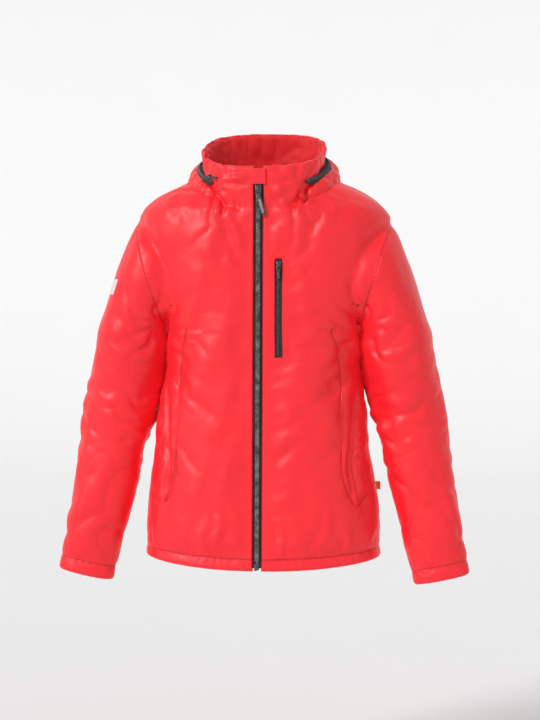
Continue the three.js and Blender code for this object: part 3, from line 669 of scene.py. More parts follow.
def settle(form):
    """Lets the shell, cut slightly too full and held at its edges, buckle under a little air pressure."""
    rest = positions(form)
    front = rest[:, 1] < -30
    held = 1.0 - step(np.abs(rest[:, 0]), ZIP_BAND, ZIP_BAND + 14)
    held = np.maximum(held, 1.0 - step(chest_slot(rest), 8, 20))
    held = np.where(front, held, 0.0)
    sleeve = in_sleeve(rest)
    cuff = FOREARM - CUFF_BAND
    held = np.maximum(held, (1.0 - step(rest[:, 2], HEM_BAND - 4, HEM_BAND + 8)) * ~sleeve)
    held = np.maximum(held, step(sleeve_distance(rest), cuff - 8, cuff + 4) * sleeve)
    held = np.maximum(held, step(-rim_drop(rest), -22, -8) * (rest[:, 2] > NECK_FRONT))
    held = np.clip(held, 0, 1)
    group = form.vertex_groups.new(name="held")
    for index, weight in enumerate(held):
        if weight > 0.01:
            group.add([index], float(weight), "REPLACE")
    cloth = form.modifiers.new("cloth", "CLOTH")
    for name, value in CLOTH.items():
        setattr(cloth.settings, name, value)
    cloth.settings.shrink_min = -settings().fullness
    cloth.settings.effector_weights.gravity = 0
    cloth.point_cache.frame_start = 1
    cloth.point_cache.frame_end = FRAMES
    scene = bpy.context.scene
    for number in range(1, FRAMES + 1):
        scene.frame_set(number)
    settled = form.evaluated_get(bpy.context.evaluated_depsgraph_get())
    moved = read(settled.to_mesh().vertices, "co", 3) / MM - SHIFT
    settled.to_mesh_clear()
    form.modifiers.clear()
    form.vertex_groups.clear()
    scene.frame_set(1)
    move = moved - rest
    limit = settings().largest_move / MM
    length = np.linalg.norm(move, axis=1)
    move *= (limit * np.tanh(length / limit) / np.maximum(length, 1e-6))[:, None]
    move = smooth_values(form, move, 2)
    set_positions(form, rest + move)


def cut_openings(form):
    """Opens the hem, the cuffs, the collar and the front."""
    with editing(form.data) as work:
        cut_edges(work)
        for inside in (lambda c: chest_slot(c) < 0.01, lambda c: np.abs(c[:, 0]) < ZIP_HALF):
            centres = middles(work)
            gone = inside(centres) & (centres[:, 1] < -60)
            waste = [face for face, out in zip(list(work.faces), gone) if out]
            bmesh.ops.delete(work, geom=waste, context="FACES")
    form.data.update()


def middles(work):
    return np.array([face.calc_center_median() for face in work.faces]) / MM - SHIFT


def cut_edges(work):
    """Cuts along the hem, the rim, the cuffs, the front and the chest zip's slot."""
    def cut(choose, place, direction, clear):
        chosen = [face for face, wanted in zip(work.faces, choose(middles(work))) if wanted]
        region = set(chosen)
        for face in chosen:
            region.update(face.edges)
            region.update(face.verts)
        bmesh.ops.bisect_plane(work, geom=list(region), dist=1e-6, plane_co=at(*place),
                               plane_no=Vector(direction), clear_outer=clear)

    cut(lambda c: ~in_sleeve(c) & (c[:, 2] < 40), (0, 0, 0), (0, 0, -1), True)
    cut(lambda c: (np.abs(c[:, 0]) < 140) & (c[:, 2] > 690), (0, COLLAR_CENTRE, RIM_HEIGHT),
        (0, -RIM_SLOPE, 1), True)
    for side in (LEFT, RIGHT):
        end = on_axis(FOREARM)
        cut(lambda c: in_sleeve(c) & (c[:, 0] * side > 0) & (sleeve_distance(c) > FOREARM - 60),
            (side * end[0], 0, end[1]), (side * DOWN[0], 0, DOWN[1]), True)
        cut(lambda c: (c[:, 1] < -60) & (np.abs(c[:, 0]) < 40), (side * ZIP_HALF, 0, 0), (side, 0, 0), False)
    middle, low, high = CHEST_ZIP

    def near_slot(centres):
        return (centres[:, 1] < -60) & (np.abs(centres[:, 0] - middle) < 26) & (np.abs(
            centres[:, 2] - (low + high) / 2) < (high - low) / 2 + 16)

    for edge, direction in ((middle - SLOT_HALF, (1, 0, 0)), (middle + SLOT_HALF, (1, 0, 0)), (low, (0, 0, 1)),
                            (high, (0, 0, 1))):
        cut(near_slot, (edge, 0, edge), direction, False)


def shape_cloth(form):
    """Draws the folds, the gathers and the puffed panels between the seams, and the seams' own distances."""
    points = positions(form)
    out = normals(form)
    x, y, z = points.T
    wide = np.abs(x)
    sleeve = in_sleeve(points)
    down = sleeve_distance(points)
    push = np.zeros(len(points))
    far = np.full(len(points), 1e3)

    def seam(distance, along, depth, reach, pucker, pitch=9.0, where=None):
        nonlocal push, far
        distance = np.abs(distance)
        if where is not None:
            distance = np.where(where, distance, 1e3)
        dip = -depth * np.exp(-(distance / reach) ** 1.3)
        ridges = lobes(along / pitch + 1.6 * slow) * (0.6 + 0.7 * lumps)
        push += dip + pucker * ridges * np.exp(-((distance - 5) / (reach * 1.1)) ** 2)
        far = np.minimum(far, distance)

    slow = noise_at(points, 45.0, 1)
    lumps = noise_at(points, 26.0, 2)
    tilted = np.stack([x + np.sign(x) * 0.35 * z, y, z - np.sign(x) * 0.35 * x], 1)
    drape = noise_at(tilted, (42.0, 70.0, 150.0), 3)
    fine = noise_at(points, (9.0, 9.0, 16.0), 4)
    body = ~sleeve
    side_run = np.where(np.abs(y - SEAM_DEPTH) < 60, z, x)
    seam(wide - ZIP_HALF, z, depth=0.0, reach=9, pucker=0.0, where=(y < -60) & body)
    seam(z - HEM_BAND, x + y, depth=3.2, reach=9, pucker=1.1, pitch=13, where=body & (z < 140))
    seam(down - (FOREARM - CUFF_BAND), y + wide, depth=3.0, reach=8, pucker=1.2, pitch=12,
         where=sleeve & (down > 200))
    hole = ARMHOLE_TOP - ARMPIT
    hole_length = np.linalg.norm(hole)
    hole_side = ((wide - ARMPIT[0]) * hole[1] - (z - ARMPIT[1]) * hole[0]) / hole_length
    seam(hole_side, z + y, depth=2.0, reach=10, pucker=0.6, pitch=19,
         where=(z > ARMPIT_HEIGHT + 8) & (z < SHOULDER_TOP))
    seam(y - SEAM_DEPTH, side_run, depth=2.0, reach=8, pucker=0.6, pitch=17,
         where=body & (z < ARMPIT_HEIGHT - 12) & (z > HEM_BAND) & (wide > 120))
    seam(y - SEAM_DEPTH, x, depth=1.0, reach=7, pucker=0.3, pitch=21,
         where=(z > SHOULDER_HEIGHT) & (wide > NECK_HALF_WIDTH + 34) & (wide < SHOULDER_HALF_WIDTH - 6))
    slot = np.where((y < -60) & body, chest_slot(points), 1e3)
    mirrored = np.stack([wide, y, z], 1)
    off, run = near_path(mirrored, POCKET_EDGE)
    seam(off, run, depth=2.6, reach=7, pucker=0.35, pitch=14, where=(y < 0) & body & (z < 432))
    gape, run = near_path(mirrored, POCKET_GAPE)
    opening = np.where((y < 0) & body, gape, 1e3)
    push -= 6.0 * np.exp(-(opening / 5.5) ** 2) * step(z, 110, 150) * step(-z, -360, -320)
    behind = step(wide - POCKET_GAPE[0][0], -8, 10)
    bag_folds = lobes(z / 62.0 + wide / 40.0 + slow) * step(-z, -350, -300)
    push += 2.2 * behind * np.exp(-((opening - 13) / 8.0) ** 2) * bag_folds

    for place in GATHERS.values():
        dx, dz = x - place[0], z - place[1]
        reach = np.hypot(dx, dz)
        turn = np.arctan2(dz, -np.sign(place[0]) * dx)
        fan = lobes(turn * 1.9 + 0.35 * slow + reach / 260.0)
        strength = step(reach, 6, 34) * np.exp(-(reach / 105.0) ** 2)
        strength *= step(-turn, -0.75, -0.2) * step(turn, -2.3, -1.6)
        push += 5.6 * fan * strength * step(-y, 20, 60) * (0.75 + 0.5 * lumps)
    crook = np.exp(-(down / 85.0) ** 2) * sleeve
    inward = step(-((wide - ELBOW[0]) * ACROSS[0] + (z - ELBOW[1]) * ACROSS[1]), -30, 55)
    rings = lobes(down / 42.0 + (wide - ELBOW[0]) / 120.0 + 0.4 * slow + np.sign(x) * 0.2)
    push += 4.6 * crook * rings * (0.45 + 0.55 * inward) * np.clip(0.55 + 0.9 * lumps, 0, 1.3)
    push += sleeve * 1.5 * noise_at(points, (34.0, 40.0, 70.0), 5) * step(-down, -270, -220) * step(z, -10, 30)
    forearm = sleeve * step(down, 60, 120) * step(-down, -270, -230)
    push += forearm * 1.8 * lobes(down / 85.0 - wide / 75.0 + 0.35 * slow)
    arm_x, arm_z = wide - ARMPIT[0] - 4, z - ARMPIT[1] + 8
    arm_reach = np.hypot(arm_x, arm_z)
    star = lobes(np.arctan2(arm_z, arm_x) * 1.35 + 0.5 * slow)
    push += 4.2 * star * np.exp(-(arm_reach / 72.0) ** 2) * step(arm_reach, 14, 44) * step(-y, 0, 40)
    push += body * step(z, 20, 70) * step(-z, -700, -640) * (2.6 * drape + 0.5 * lumps)
    low = body * step(-z, -150, -30) * step(z, HEM_BAND, HEM_BAND + 20)
    push += low * 1.5 * np.sin(x / 38.0 * 2 * math.pi + 3 * slow)
    push += 0.2 * fine * (z < 700)
    pleat = body * step(z, 640, 700)
    push += pleat * 2.4 * noise_at(points, (15.0, 15.0, 46.0), 6) * step(-rim_drop(points), -70, -20)
    push += pleat * 1.6 * lobes(np.arctan2(y - COLLAR_CENTRE, x) * 3.2 + 0.6 * slow) * step(wide, 40, 80)
    near_zip = np.where((y < -60) & body, np.minimum(step(wide, 15, 42), step(slot, 4, 20)), 1.0)
    push *= near_zip
    points = points + out * smooth_values(form, push, 2)[:, None]

    # The shoulders and the sleeves' inner sides go back to where they were before they were held apart.
    gap = apart(z)
    touching = 4.5 * step(z, 205, 265) * step(-z, -430, -395)
    share = np.clip(wide / np.maximum(body_half_width(z), 1.0), 0, 1)
    points[:, 0] += np.sign(x) * np.where(sleeve, -gap - touching * inward, gap * share + touching * share**4)
    points[:, 2] += np.where(body, hem_lift(points) * np.clip(1 - z / WAIST_HEIGHT, 0, 1), 0.0)
    set_positions(form, points)
    # Distance from the nearest seam; the shell fabric bumps the seams with it and paints shade along them.
    stitched = form.data.attributes.new("seam", "FLOAT", "POINT")
    stitched.data.foreach_set("value", np.clip(far / 2.0, 0, 2).astype(np.float32))
    return z, down, sleeve, body


def wall_of(form, z, down, sleeve, body):
    """Gives the cloth its thickness, with rounded edges at the openings and a thinner edge along the zip."""
    points = positions(form)
    out = normals(form)
    wall = settings().wall / MM
    edge = np.where(body, z, FOREARM - down)
    edge = np.minimum(edge, np.where(points[:, 2] > NECK_FRONT, rim_drop(points), 1e3))
    zip_edge = np.where((points[:, 1] < -40) & body, np.abs(points[:, 0]) - ZIP_HALF, 1e3)
    radius = wall / 2

    def rounded(distance, r):
        t = np.clip(distance, 0, r)
        return r - np.sqrt(np.maximum(r * r - (r - t) ** 2, 0))

    sink = np.maximum(rounded(edge, radius), rounded(zip_edge, 2.2))
    full = np.where(zip_edge < 40, 4.4 + (wall - 4.4) * step(zip_edge, 4, 30), wall)
    share = np.clip((full - 2 * sink) / wall, 0.05, 1.0)
    set_positions(form, points - out * sink[:, None])
    group = form.vertex_groups.new(name="wall")
    order = np.round(share * 40).astype(int)
    for level in np.unique(order):
        group.add(np.nonzero(order == level)[0].tolist(), float(level / 40), "REPLACE")
    thick = form.modifiers.new("wall", "SOLIDIFY")
    thick.thickness = settings().wall
    thick.offset = -1.0
    thick.vertex_group = "wall"
    thick.material_offset = 1
    thick.material_offset_rim = 0
    apply_modifiers(form)
    form.vertex_groups.clear()


def keep_faces(source, name, keep):
    """A copy of the source with only those faces, shaded with its normals so that pieces join unseen."""
    every = normals(source)
    piece = source.copy()
    piece.data = source.data.copy()
    piece.name = piece.data.name = name
    bpy.context.scene.collection.objects.link(piece)
    number = piece.data.attributes.new("number", "INT", "POINT")
    number.data.foreach_set("value", np.arange(len(piece.data.vertices), dtype=np.int32))
    with editing(piece.data) as work:
        work.faces.ensure_lookup_table()
        bmesh.ops.delete(work, geom=[work.faces[i] for i in np.nonzero(~keep)[0]], context="FACES")
    kept = read(piece.data.attributes["number"].data, "value", kind=np.int32)
    piece.data.attributes.remove(piece.data.attributes["number"])
    piece.data.shade_smooth()
    piece.data.normals_split_custom_set_from_vertices([tuple(n) for n in every[kept]])
    return piece


FABRIC = {}


def sew_jacket():
    form = closed_form()
    settle(form)
    divide(form)
    cut_openings(form)
    z, down, sleeve, body = shape_cloth(form)
    form.data.materials.clear()
    form.data.materials.append(shell_fabric())
    form.data.materials.append(lining_fabric())
    part = form.data.attributes.new("part", "FLOAT", "POINT")
    part.data.foreach_set("value", np.where(sleeve, 1.0, 0.0).astype(np.float32))
    wall_of(form, z, down, sleeve, body)
    form.data.shade_smooth()
    share = read(form.data.attributes["part"].data, "value")
    first = read(form.data.loops, "vertex_index", kind=int)[read(form.data.polygons, "loop_start", kind=int)]
    centres = read(form.data.polygons, "center", 3) / MM - SHIFT
    sleeved = share[first] > 0.5
    lower = sleeved & (sleeve_distance(centres) > SLEEVE_SPLIT)
    form.data.attributes.remove(form.data.attributes["part"])
    chosen = {"torso": ~sleeved}
    for side, sign in SIDES.items():
        chosen[side + "_upper"] = sleeved & ~lower & (centres[:, 0] * sign > 0)
        chosen[side + "_lower"] = lower & (centres[:, 0] * sign > 0)
    for name, keep in chosen.items():
        FABRIC[name] = keep_faces(form, name + "_fabric", keep)
    bpy.data.objects.remove(form)


def surface_tree(*names):
    """A tree of the outer fabric for laying stitches and trims on, in garment millimetres."""
    points, faces = [], []
    for name in names:
        piece = FABRIC[name]
        start = len(points)
        points += positions(piece).tolist()
        faces += [[start + i for i in face.vertices] for face in piece.data.polygons]
    return BVHTree.FromPolygons(points, faces)


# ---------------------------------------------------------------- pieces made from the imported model's own solids
def body_of_node(node):
    return frame["nodes"][node]["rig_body"]


def finish_piece(piece, nodes, body=None):
    """Ties a piece to the model: hides the solids it stands for and attaches it to the body it moves with."""
    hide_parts(*nodes)
    if body:
        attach(piece, body)
    return piece


def copy_of(node, name):
    piece = linked(name, frame["nodes"][node].data.copy())
    piece.data.materials.clear()
    with editing(piece.data) as work:
        bmesh.ops.remove_doubles(work, verts=work.verts, dist=1e-5)
        bmesh.ops.recalc_face_normals(work, faces=work.faces)
    for extra in [a.name for a in piece.data.attributes if a.name.startswith("_") or a.name == "custom_normal"]:
        piece.data.attributes.remove(piece.data.attributes[extra])
    return piece


def soft_copy(node, name, material, voxel, wrinkle=0.0, size=(12, 12, 12), rounds=3, slot="shell", fill=0.5):
    """A cloth piece: the solid's form with rounded edges and its own creases."""
    piece = copy_of(node, name)
    mesh_evenly(piece, voxel * MM)
    points = smooth_values(piece, positions(piece), rounds)
    set_positions(piece, points)
    if wrinkle:
        push = wrinkle * (noise_at(points, size, 9) + 0.4 * noise_at(points, np.asarray(size) / 2.2, 10))
        set_positions(piece, points + normals(piece) * push[:, None])
    piece.data.materials.clear()
    piece.data.materials.append(material)
    piece.data.shade_smooth()
    return finish_piece(piece, [node], body_of_node(node))


def hard_copy(node, name, material, bevel, segments=2):
    """A moulded or cast piece: the solid's form with softened edges."""
    piece = copy_of(node, name)
    piece.data.materials.append(material)
    with editing(piece.data) as work:
        bmesh.ops.dissolve_limit(work, angle_limit=math.radians(3), verts=work.verts, edges=work.edges)
    edges = piece.modifiers.new("edges", "BEVEL")
    edges.width = bevel * MM
    edges.segments = segments
    edges.limit_method = "ANGLE"
    edges.angle_limit = math.radians(32)
    edges.harden_normals = False
    apply_modifiers(piece)
    piece.data.shade_smooth()
    piece.data.set_sharp_from_angle(angle=math.radians(40))
    return finish_piece(piece, [node], body_of_node(node))


# ---------------------------------------------------------------- repeated pieces
def repeat_tree():
    """Geometry nodes that set one item at every point of a mesh, turned by the point's own turn."""
    name = "repeat along points"
    if name in bpy.data.node_groups:
        return bpy.data.node_groups[name]
    tree = bpy.data.node_groups.new(name, "GeometryNodeTree")
    face = tree.interface
    face.new_socket("Points", in_out="INPUT", socket_type="NodeSocketGeometry")
    face.new_socket("Item", in_out="INPUT", socket_type="NodeSocketObject")
    face.new_socket("Size", in_out="INPUT", socket_type="NodeSocketFloat").default_value = 1.0
    face.new_socket("Material", in_out="INPUT", socket_type="NodeSocketMaterial")
    face.new_socket("Geometry", in_out="OUTPUT", socket_type="NodeSocketGeometry")
    entry = tree.nodes.new("NodeGroupInput")
    leave = tree.nodes.new("NodeGroupOutput")
    item = add_node(tree, "GeometryNodeObjectInfo", {"Object": entry.outputs["Item"]})
    turn = add_node(tree, "GeometryNodeInputNamedAttribute", data_type="FLOAT_VECTOR")
    turn.inputs["Name"].default_value = "turn"
    placed = add_node(tree, "GeometryNodeInstanceOnPoints", {
        "Points": entry.outputs["Points"], "Instance": item.outputs["Geometry"],
        "Rotation": turn.outputs[0], "Scale": entry.outputs["Size"]})
    real = add_node(tree, "GeometryNodeRealizeInstances", {"Geometry": placed.outputs["Instances"]})
    painted = add_node(tree, "GeometryNodeSetMaterial", {
        "Geometry": real.outputs["Geometry"], "Material": entry.outputs["Material"]})
    tree.links.new(painted.outputs["Geometry"], leave.inputs["Geometry"])
    return tree


def repeated(name, item, places, turns, material, size=1.0):
    """One mesh made of the item set at each place in metres and turned by each rotation."""
    mesh = bpy.data.meshes.new(name)
    mesh.from_pydata([tuple(p) for p in places], [], [])
    turn = mesh.attributes.new("turn", "FLOAT_VECTOR", "POINT")
    turn.data.foreach_set("vector", np.array([tuple(t) for t in turns], np.float32).ravel())
    piece = linked(name, mesh)
    tree = repeat_tree()
    modifier = piece.modifiers.new("repeat", "NODES")
    modifier.node_group = tree
    sockets = {s.name: s.identifier for s in tree.interface.items_tree if s.in_out == "INPUT"}
    modifier[sockets["Item"]] = item
    modifier[sockets["Size"]] = size
    modifier[sockets["Material"]] = material
    apply_modifiers(piece)
    if "turn" in piece.data.attributes:
        piece.data.attributes.remove(piece.data.attributes["turn"])
    bpy.data.objects.remove(item)
    return piece


def item_box(name, size, bevel, segments=2):
    """A small block in metres with rounded edges, centred on its own origin."""
    mesh = bpy.data.meshes.new(name)
    work = bmesh.new()
    bmesh.ops.create_cube(work, size=1.0)
    bmesh.ops.scale(work, vec=Vector(size) * MM, verts=work.verts)
    bmesh.ops.bevel(work, geom=work.edges[:], offset=bevel * MM, segments=segments, affect="EDGES", profile=0.5)
    work.to_mesh(mesh)
    work.free()
    mesh.shade_smooth()
    piece = linked(name, mesh)
    return piece


LEAN = math.atan(ZIP_LEAN)
ZIP_TURN = Matrix.Rotation(-LEAN, 4, "X")


def zip_point(x, y, along):
    """A point of the front zip, in metres: across, outward from the zip's plane when negative, and up it."""
    return at(0, -HEM_FRONT, 0) + ZIP_TURN @ (Vector((x, y, along)) * MM)


SEWN_FLAT = {"fill": 0.2, "rounds": 1}
BAG_CREASES = {"wrinkle": 0.5, "size": (25, 25, 25)}
ZIP_BOTTOM = 17.0
PULL_SLANT = math.radians(16.0)
ZIP_TOP = 688.0 / math.cos(LEAN)


def make_front_zip():
    pitch = settings().tooth_pitch / MM
    turn = ZIP_TURN.to_euler()
    for side, sign in SIDES.items():
        count = int((ZIP_TOP - ZIP_BOTTOM - 4) / pitch)
        offset = 0.0 if sign > 0 else pitch / 2
        places = [zip_point(sign * 1.75, -0.6, ZIP_BOTTOM + 2 + offset + i * pitch) for i in range(count)]
        tooth = item_box("tooth", (3.6, 4.4, pitch * 0.64), 0.32)
        teeth = repeated(side + "_teeth", tooth, places, [turn] * count, tooth_plastic())
        finish_piece(teeth, [side + "_zip_teeth"], body_of_node(side + "_zip_teeth"))
        tape = soft_copy(side + "_zip_tape", side + "_tape", zip_tape(), 0.7, slot="zip_tape", **SEWN_FLAT)
        points = positions(tape)
        points[:, 1] += 2.4 * step(np.abs(points[:, 0]), 6.0, 9.5)
        points[:, 0] -= sign * 4.0 * (1 - step(np.abs(points[:, 0]), 3.9, 8.0))
        set_positions(tape, points)
    hard_copy("insertion_pin", "pin", dark_metal(), 0.3)
    hard_copy("retainer_box", "retainer", dark_metal(), 0.4)
    hard_copy("main_zip_slider", "slider", dark_metal(), 0.45, 3)
    hard_copy("main_zip_pull", "pull", dark_metal(), 0.6, 3)
    pivot = zip_point(0, -5.55, ZIP_TOP - 8.5)
    slant = Matrix.Rotation(-PULL_SLANT, 4, "Y")
    strip = item_box("pull_strip", (3.6, 0.5, 25.0), 0.2)
    turn = ZIP_TURN @ slant
    strip.data.transform(Matrix.Translation(pivot + ZIP_TURN @ (Vector((0, -1.1, -9.6)) * MM)) @ turn
                         @ Matrix.Translation(Vector((0, 0, -21)) * MM))
    strip.data.materials.append(hard("pull inlay", (0.2, 0.185, 0.18), 0.5, wear=0.2, scale=700.0))
    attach(strip, "main_zip_pull")
    soft_copy("inner_storm_flap", "storm_flap", plain_shell_fabric(), 1.6, wrinkle=0.5, size=(20, 20, 60))
    soft_copy("chin_guard", "chin_guard_cover", plain_shell_fabric(), 0.9, wrinkle=0.25, size=(12, 12, 14))


def make_chest_zip():
    soft_copy("chest_zip_tape", "chest_tape", zip_tape(), 0.7, slot="zip_tape", **SEWN_FLAT)
    low, high = (np.array(corner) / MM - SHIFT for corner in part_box("chest_zip_coil"))
    middle = (low + high) / 2
    pitch = 1.5
    count = int((high[2] - low[2] - 2) / pitch)
    link = item_box("link", (4.2, 2.0, pitch * 0.62), 0.35)
    places = [at(middle[0], middle[1] + ZIP_LEAN * (i - count / 2) * pitch, middle[2] + (i - count / 2) * pitch)
              for i in range(count)]
    coil = repeated("chest_coil", link, places, [ZIP_TURN.to_euler()] * count, coil_plastic())
    finish_piece(coil, ["chest_zip_coil"], "jacket_body")
    hard_copy("chest_zip_slider", "chest_slider", dark_metal(), 0.4)
    hard_copy("chest_zip_pull", "chest_pull", dark_metal(), 0.4, 3)
    soft_copy("chest_pocket_bag", "chest_bag", lining_fabric(), 1.4, slot="lining", **BAG_CREASES)


def stitches(name, path, tree, body, lift=0.25):
    """A row of stitches laid on the fabric along a path of garment points."""
    points = [Vector(p) for p in path]
    pitch = settings().stitch / MM
    places, turns = [], []
    left = 0.0
    for a, b in zip(points[:-1], points[1:]):
        edge = b - a
        while left < edge.length:
            spot, normal, _, _ = tree.find_nearest(a + edge * (left / edge.length))
            if normal.y > 0:
                normal = -normal
            along = (edge - normal * edge.dot(normal)).normalized()
            side = normal.cross(along)
            places.append(at(*(spot + normal * lift)))
            turns.append(Matrix((side, normal, along)).transposed().to_euler())
            left += pitch
        left -= edge.length
    thread = item_box("thread", (0.55, 0.5, pitch * 0.68), 0.2, 1)
    piece = repeated(name, thread, places, turns, woven("red thread", (0.62, 0.012, 0.02), threads=6000.0))
    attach(piece, body)
    return piece


def along_line(path, count):
    """Evenly spaced points along a polyline of (x, z) points."""
    path = np.asarray(path, float)
    steps = np.concatenate([[0], np.cumsum(np.linalg.norm(np.diff(path, axis=0), axis=1))])
    where = np.linspace(0, steps[-1], count)
    return np.stack([np.interp(where, steps, path[:, 0]), np.interp(where, steps, path[:, 1])], 1)


WELT_FRONT = [(146, 326), (145, 290), (147, 230), (151, 178), (161, 142), (172, 113)]
WELT_EDGE = [(166, 348), (165, 300), (163, 240), (165, 180), (176, 130), (180, 119)]
WELT_WALL = 2.4
WELT_RISE = ((0.0, -1.4), (0.1, 1.2), (0.3, 2.6), (0.6, 3.4), (0.85, 3.6), (0.96, 2.8), (1.0, 1.0))


def make_pockets():
    rows, columns = 90, 22
    shares = np.linspace(0, 1, columns)
    rise = np.interp(shares, *zip(*WELT_RISE))
    tree = surface_tree("torso")
    for side, sign in SIDES.items():
        front, edge = along_line(WELT_FRONT, rows), along_line(WELT_EDGE, rows)
        points = []
        for row in range(rows):
            end = math.sin(math.pi * min(1.0, (row + 0.5) / 6.0, (rows - row - 0.5) / 6.0) / 2)
            for share, height in zip(shares, rise):
                x, z = front[row] * (1 - share) + edge[row] * share
                hit = tree.ray_cast(Vector((sign * x, -400, z)), Vector((0, 1, 0)))[0]
                crease = lobes(np.array((z + 1.7 * x) / 34.0))
                points.append((sign * x, hit.y - height * (0.35 + 0.65 * end) - 0.9 * share * crease, z))
        points = np.array(points)
        depth = points[:, 1].reshape(rows, columns)
        for _ in range(6):
            depth[1:-1] = (depth[:-2] + 2 * depth[1:-1] + depth[2:]) / 4
        welt = mesh_object(side + "_welt", points, loft_faces(rows, columns, closed=False, caps=False),
                           plain_shell_fabric())
        thicken(welt, WELT_WALL, sign)
        divide(welt)
        face_outward(welt)
        finish_piece(welt, [side + "_pocket_welt"], "jacket_body")
        grid = points.reshape(rows, columns, 3)
        faces = [list(face.vertices) for face in welt.data.polygons]
        surface = BVHTree.FromPolygons(positions(welt).tolist(), faces)
        for number, column in (("edge", 4), ("inner", 12)):
            line = [tuple(p) for p in grid[3:-3, column]]
            stitches(f"{side}_welt_{number}_stitches", line, surface, "jacket_body")
        soft_copy(side + "_pocket_bag", side + "_bag", lining_fabric(), 1.6, slot="lining", **BAG_CREASES)


HOOD_TILT = math.radians(20.6)
HOOD_PLACE = np.array([0.0, 12.0, 722.0])
HOOD_FROM, HOOD_TO = math.radians(-46.0), math.radians(226.0)


def hood_points(radius, angle, height):
    """Garment points from the hood zip's own radius, angle and height."""
    x, y = radius * np.cos(angle), radius * np.sin(angle)
    return np.stack([x, y * math.cos(HOOD_TILT) - height * math.sin(HOOD_TILT),
                     y * math.sin(HOOD_TILT) + height * math.cos(HOOD_TILT)], -1) + HOOD_PLACE


def make_pouch():
    rows, sides = 150, 40
    angles = np.linspace(HOOD_FROM - 0.03, HOOD_TO + 0.03, rows)
    turn = np.arange(sides) / sides * 2 * math.pi
    across, up = squared(turn, 2.3)
    points = []
    for angle in angles:
        to_end = min(angle - angles[0], angles[-1] - angle)
        swell = math.sqrt(max(0.0, 1 - (1 - min(1.0, to_end / 0.42)) ** 2)) * 0.86 + 0.14
        radius = 119 + (19.5 * swell) * across
        height = -29.5 - 2 * (1 - swell) + 27.5 * swell * up
        points.append(hood_points(radius, np.full(sides, angle), height))
    points = np.concatenate(points)
    pouch = mesh_object("hood_pouch_cover", points, loft_faces(rows, sides), plain_shell_fabric())
    face_outward(pouch)
    flat = np.repeat(angles, sides)
    slow = noise_at(points, 30.0, 31)
    push = 2.0 * lobes(flat * 119 / 34.0 + 1.2 * slow) + 1.5 * noise_at(points, (12.0, 12.0, 15.0), 32)
    set_positions(pouch, positions(pouch) + normals(pouch) * smooth_values(pouch, push, 1)[:, None])
    divide(pouch)
    finish_piece(pouch, ["hood_pouch"], "jacket_body")


def make_hood_band():
    """The zip's tape as a folded black ribbon, with the coil standing along its middle."""
    rows = 220
    angles = np.linspace(HOOD_FROM, HOOD_TO, rows)
    section = np.array([(-7.5, 5.0), (-3.5, 4.4), (0, 3.0), (3.5, 0.2), (6.0, -4.2), (4.8, -4.8), (1.0, -1.8),
                        (-2.5, 1.4), (-7.5, 2.6)])
    points = []
    for angle in angles:
        small = min(1.0, 0.35 + min(angle - angles[0], angles[-1] - angle) / 0.09)
        radius, height = 118 + section[:, 0] * small, section[:, 1] * small
        points.append(hood_points(radius, np.full(len(section), angle), height))
    band = mesh_object("hood_band", np.concatenate(points), loft_faces(rows, len(section)), zip_tape())
    face_outward(band)
    finish_piece(band, ["hood_zip_tape"], "jacket_body")
    pitch = 1.5
    count = int(118 * (HOOD_TO - HOOD_FROM - 0.06) / pitch)
    places, turns = [], []
    tilt = Matrix.Rotation(HOOD_TILT, 3, "X")
    twist = Matrix.Rotation(math.radians(42), 3, "Y")
    for angle in np.linspace(HOOD_FROM + 0.03, HOOD_TO - 0.03, count):
        places.append(at(*hood_points(119.6, angle, 3.0)))
        turns.append((tilt @ Matrix.Rotation(angle, 3, "Z") @ twist).to_euler())
    link = item_box("link", (6.2, pitch * 0.62, 2.4), 0.4)
    coil = repeated("hood_coil", link, places, turns, coil_plastic())
    finish_piece(coil, ["hood_zip_coil"], "jacket_body")


def make_hood():
    make_pouch()
    make_hood_band()
    soft_copy("stowed_hood", "hood_roll", plain_shell_fabric(), 2.2, wrinkle=1.6, size=(12, 18, 18), rounds=4)
    hard_copy("hood_zip_slider", "hood_slider", dark_metal(), 0.4)
    hard_copy("hood_zip_pull", "hood_pull", dark_metal(), 0.4, 3)


PATCH_WALL = 0.5


def make_trims():
    soft_copy("hanger_loop", "hanger_tape", lining_fabric(), 0.6, slot="shell", **SEWN_FLAT)
    ribbon = woven("tab ribbon", (0.9, 0.22, 0.02), threads=2600.0)
    soft_copy("side_tab", "tab", ribbon, 0.45, slot="tab", **SEWN_FLAT)
    weave = woven("patch weave", (0.80, 0.62, 0.60), threads=1500.0)
    patch = soft_copy("sleeve_patch", "patch", weave, 0.45, slot="patch", **SEWN_FLAT)
    tree = surface_tree("right_upper", "torso")
    points = positions(patch)
    laid = []
    for point in points:
        spot = tree.ray_cast(Vector(point) + Vector((-60, 0, 0)), Vector((1, 0, 0)))[0]
        laid.append((spot.x - 0.7 if spot else point[0], point[1], point[2]))
    set_positions(patch, np.array(laid))
    thicken(patch, PATCH_WALL)
    elastic = woven("elastic", (0.03, 0.028, 0.03), threads=1400.0)
    for side in SIDES:
        soft_copy(side + "_cuff_elastic", side + "_elastic", elastic, 1.1, slot="elastic", fill=0.3, rounds=1)


# ---------------------------------------------------------------- operators
LAYERS = ("shell", "padding", "lining")


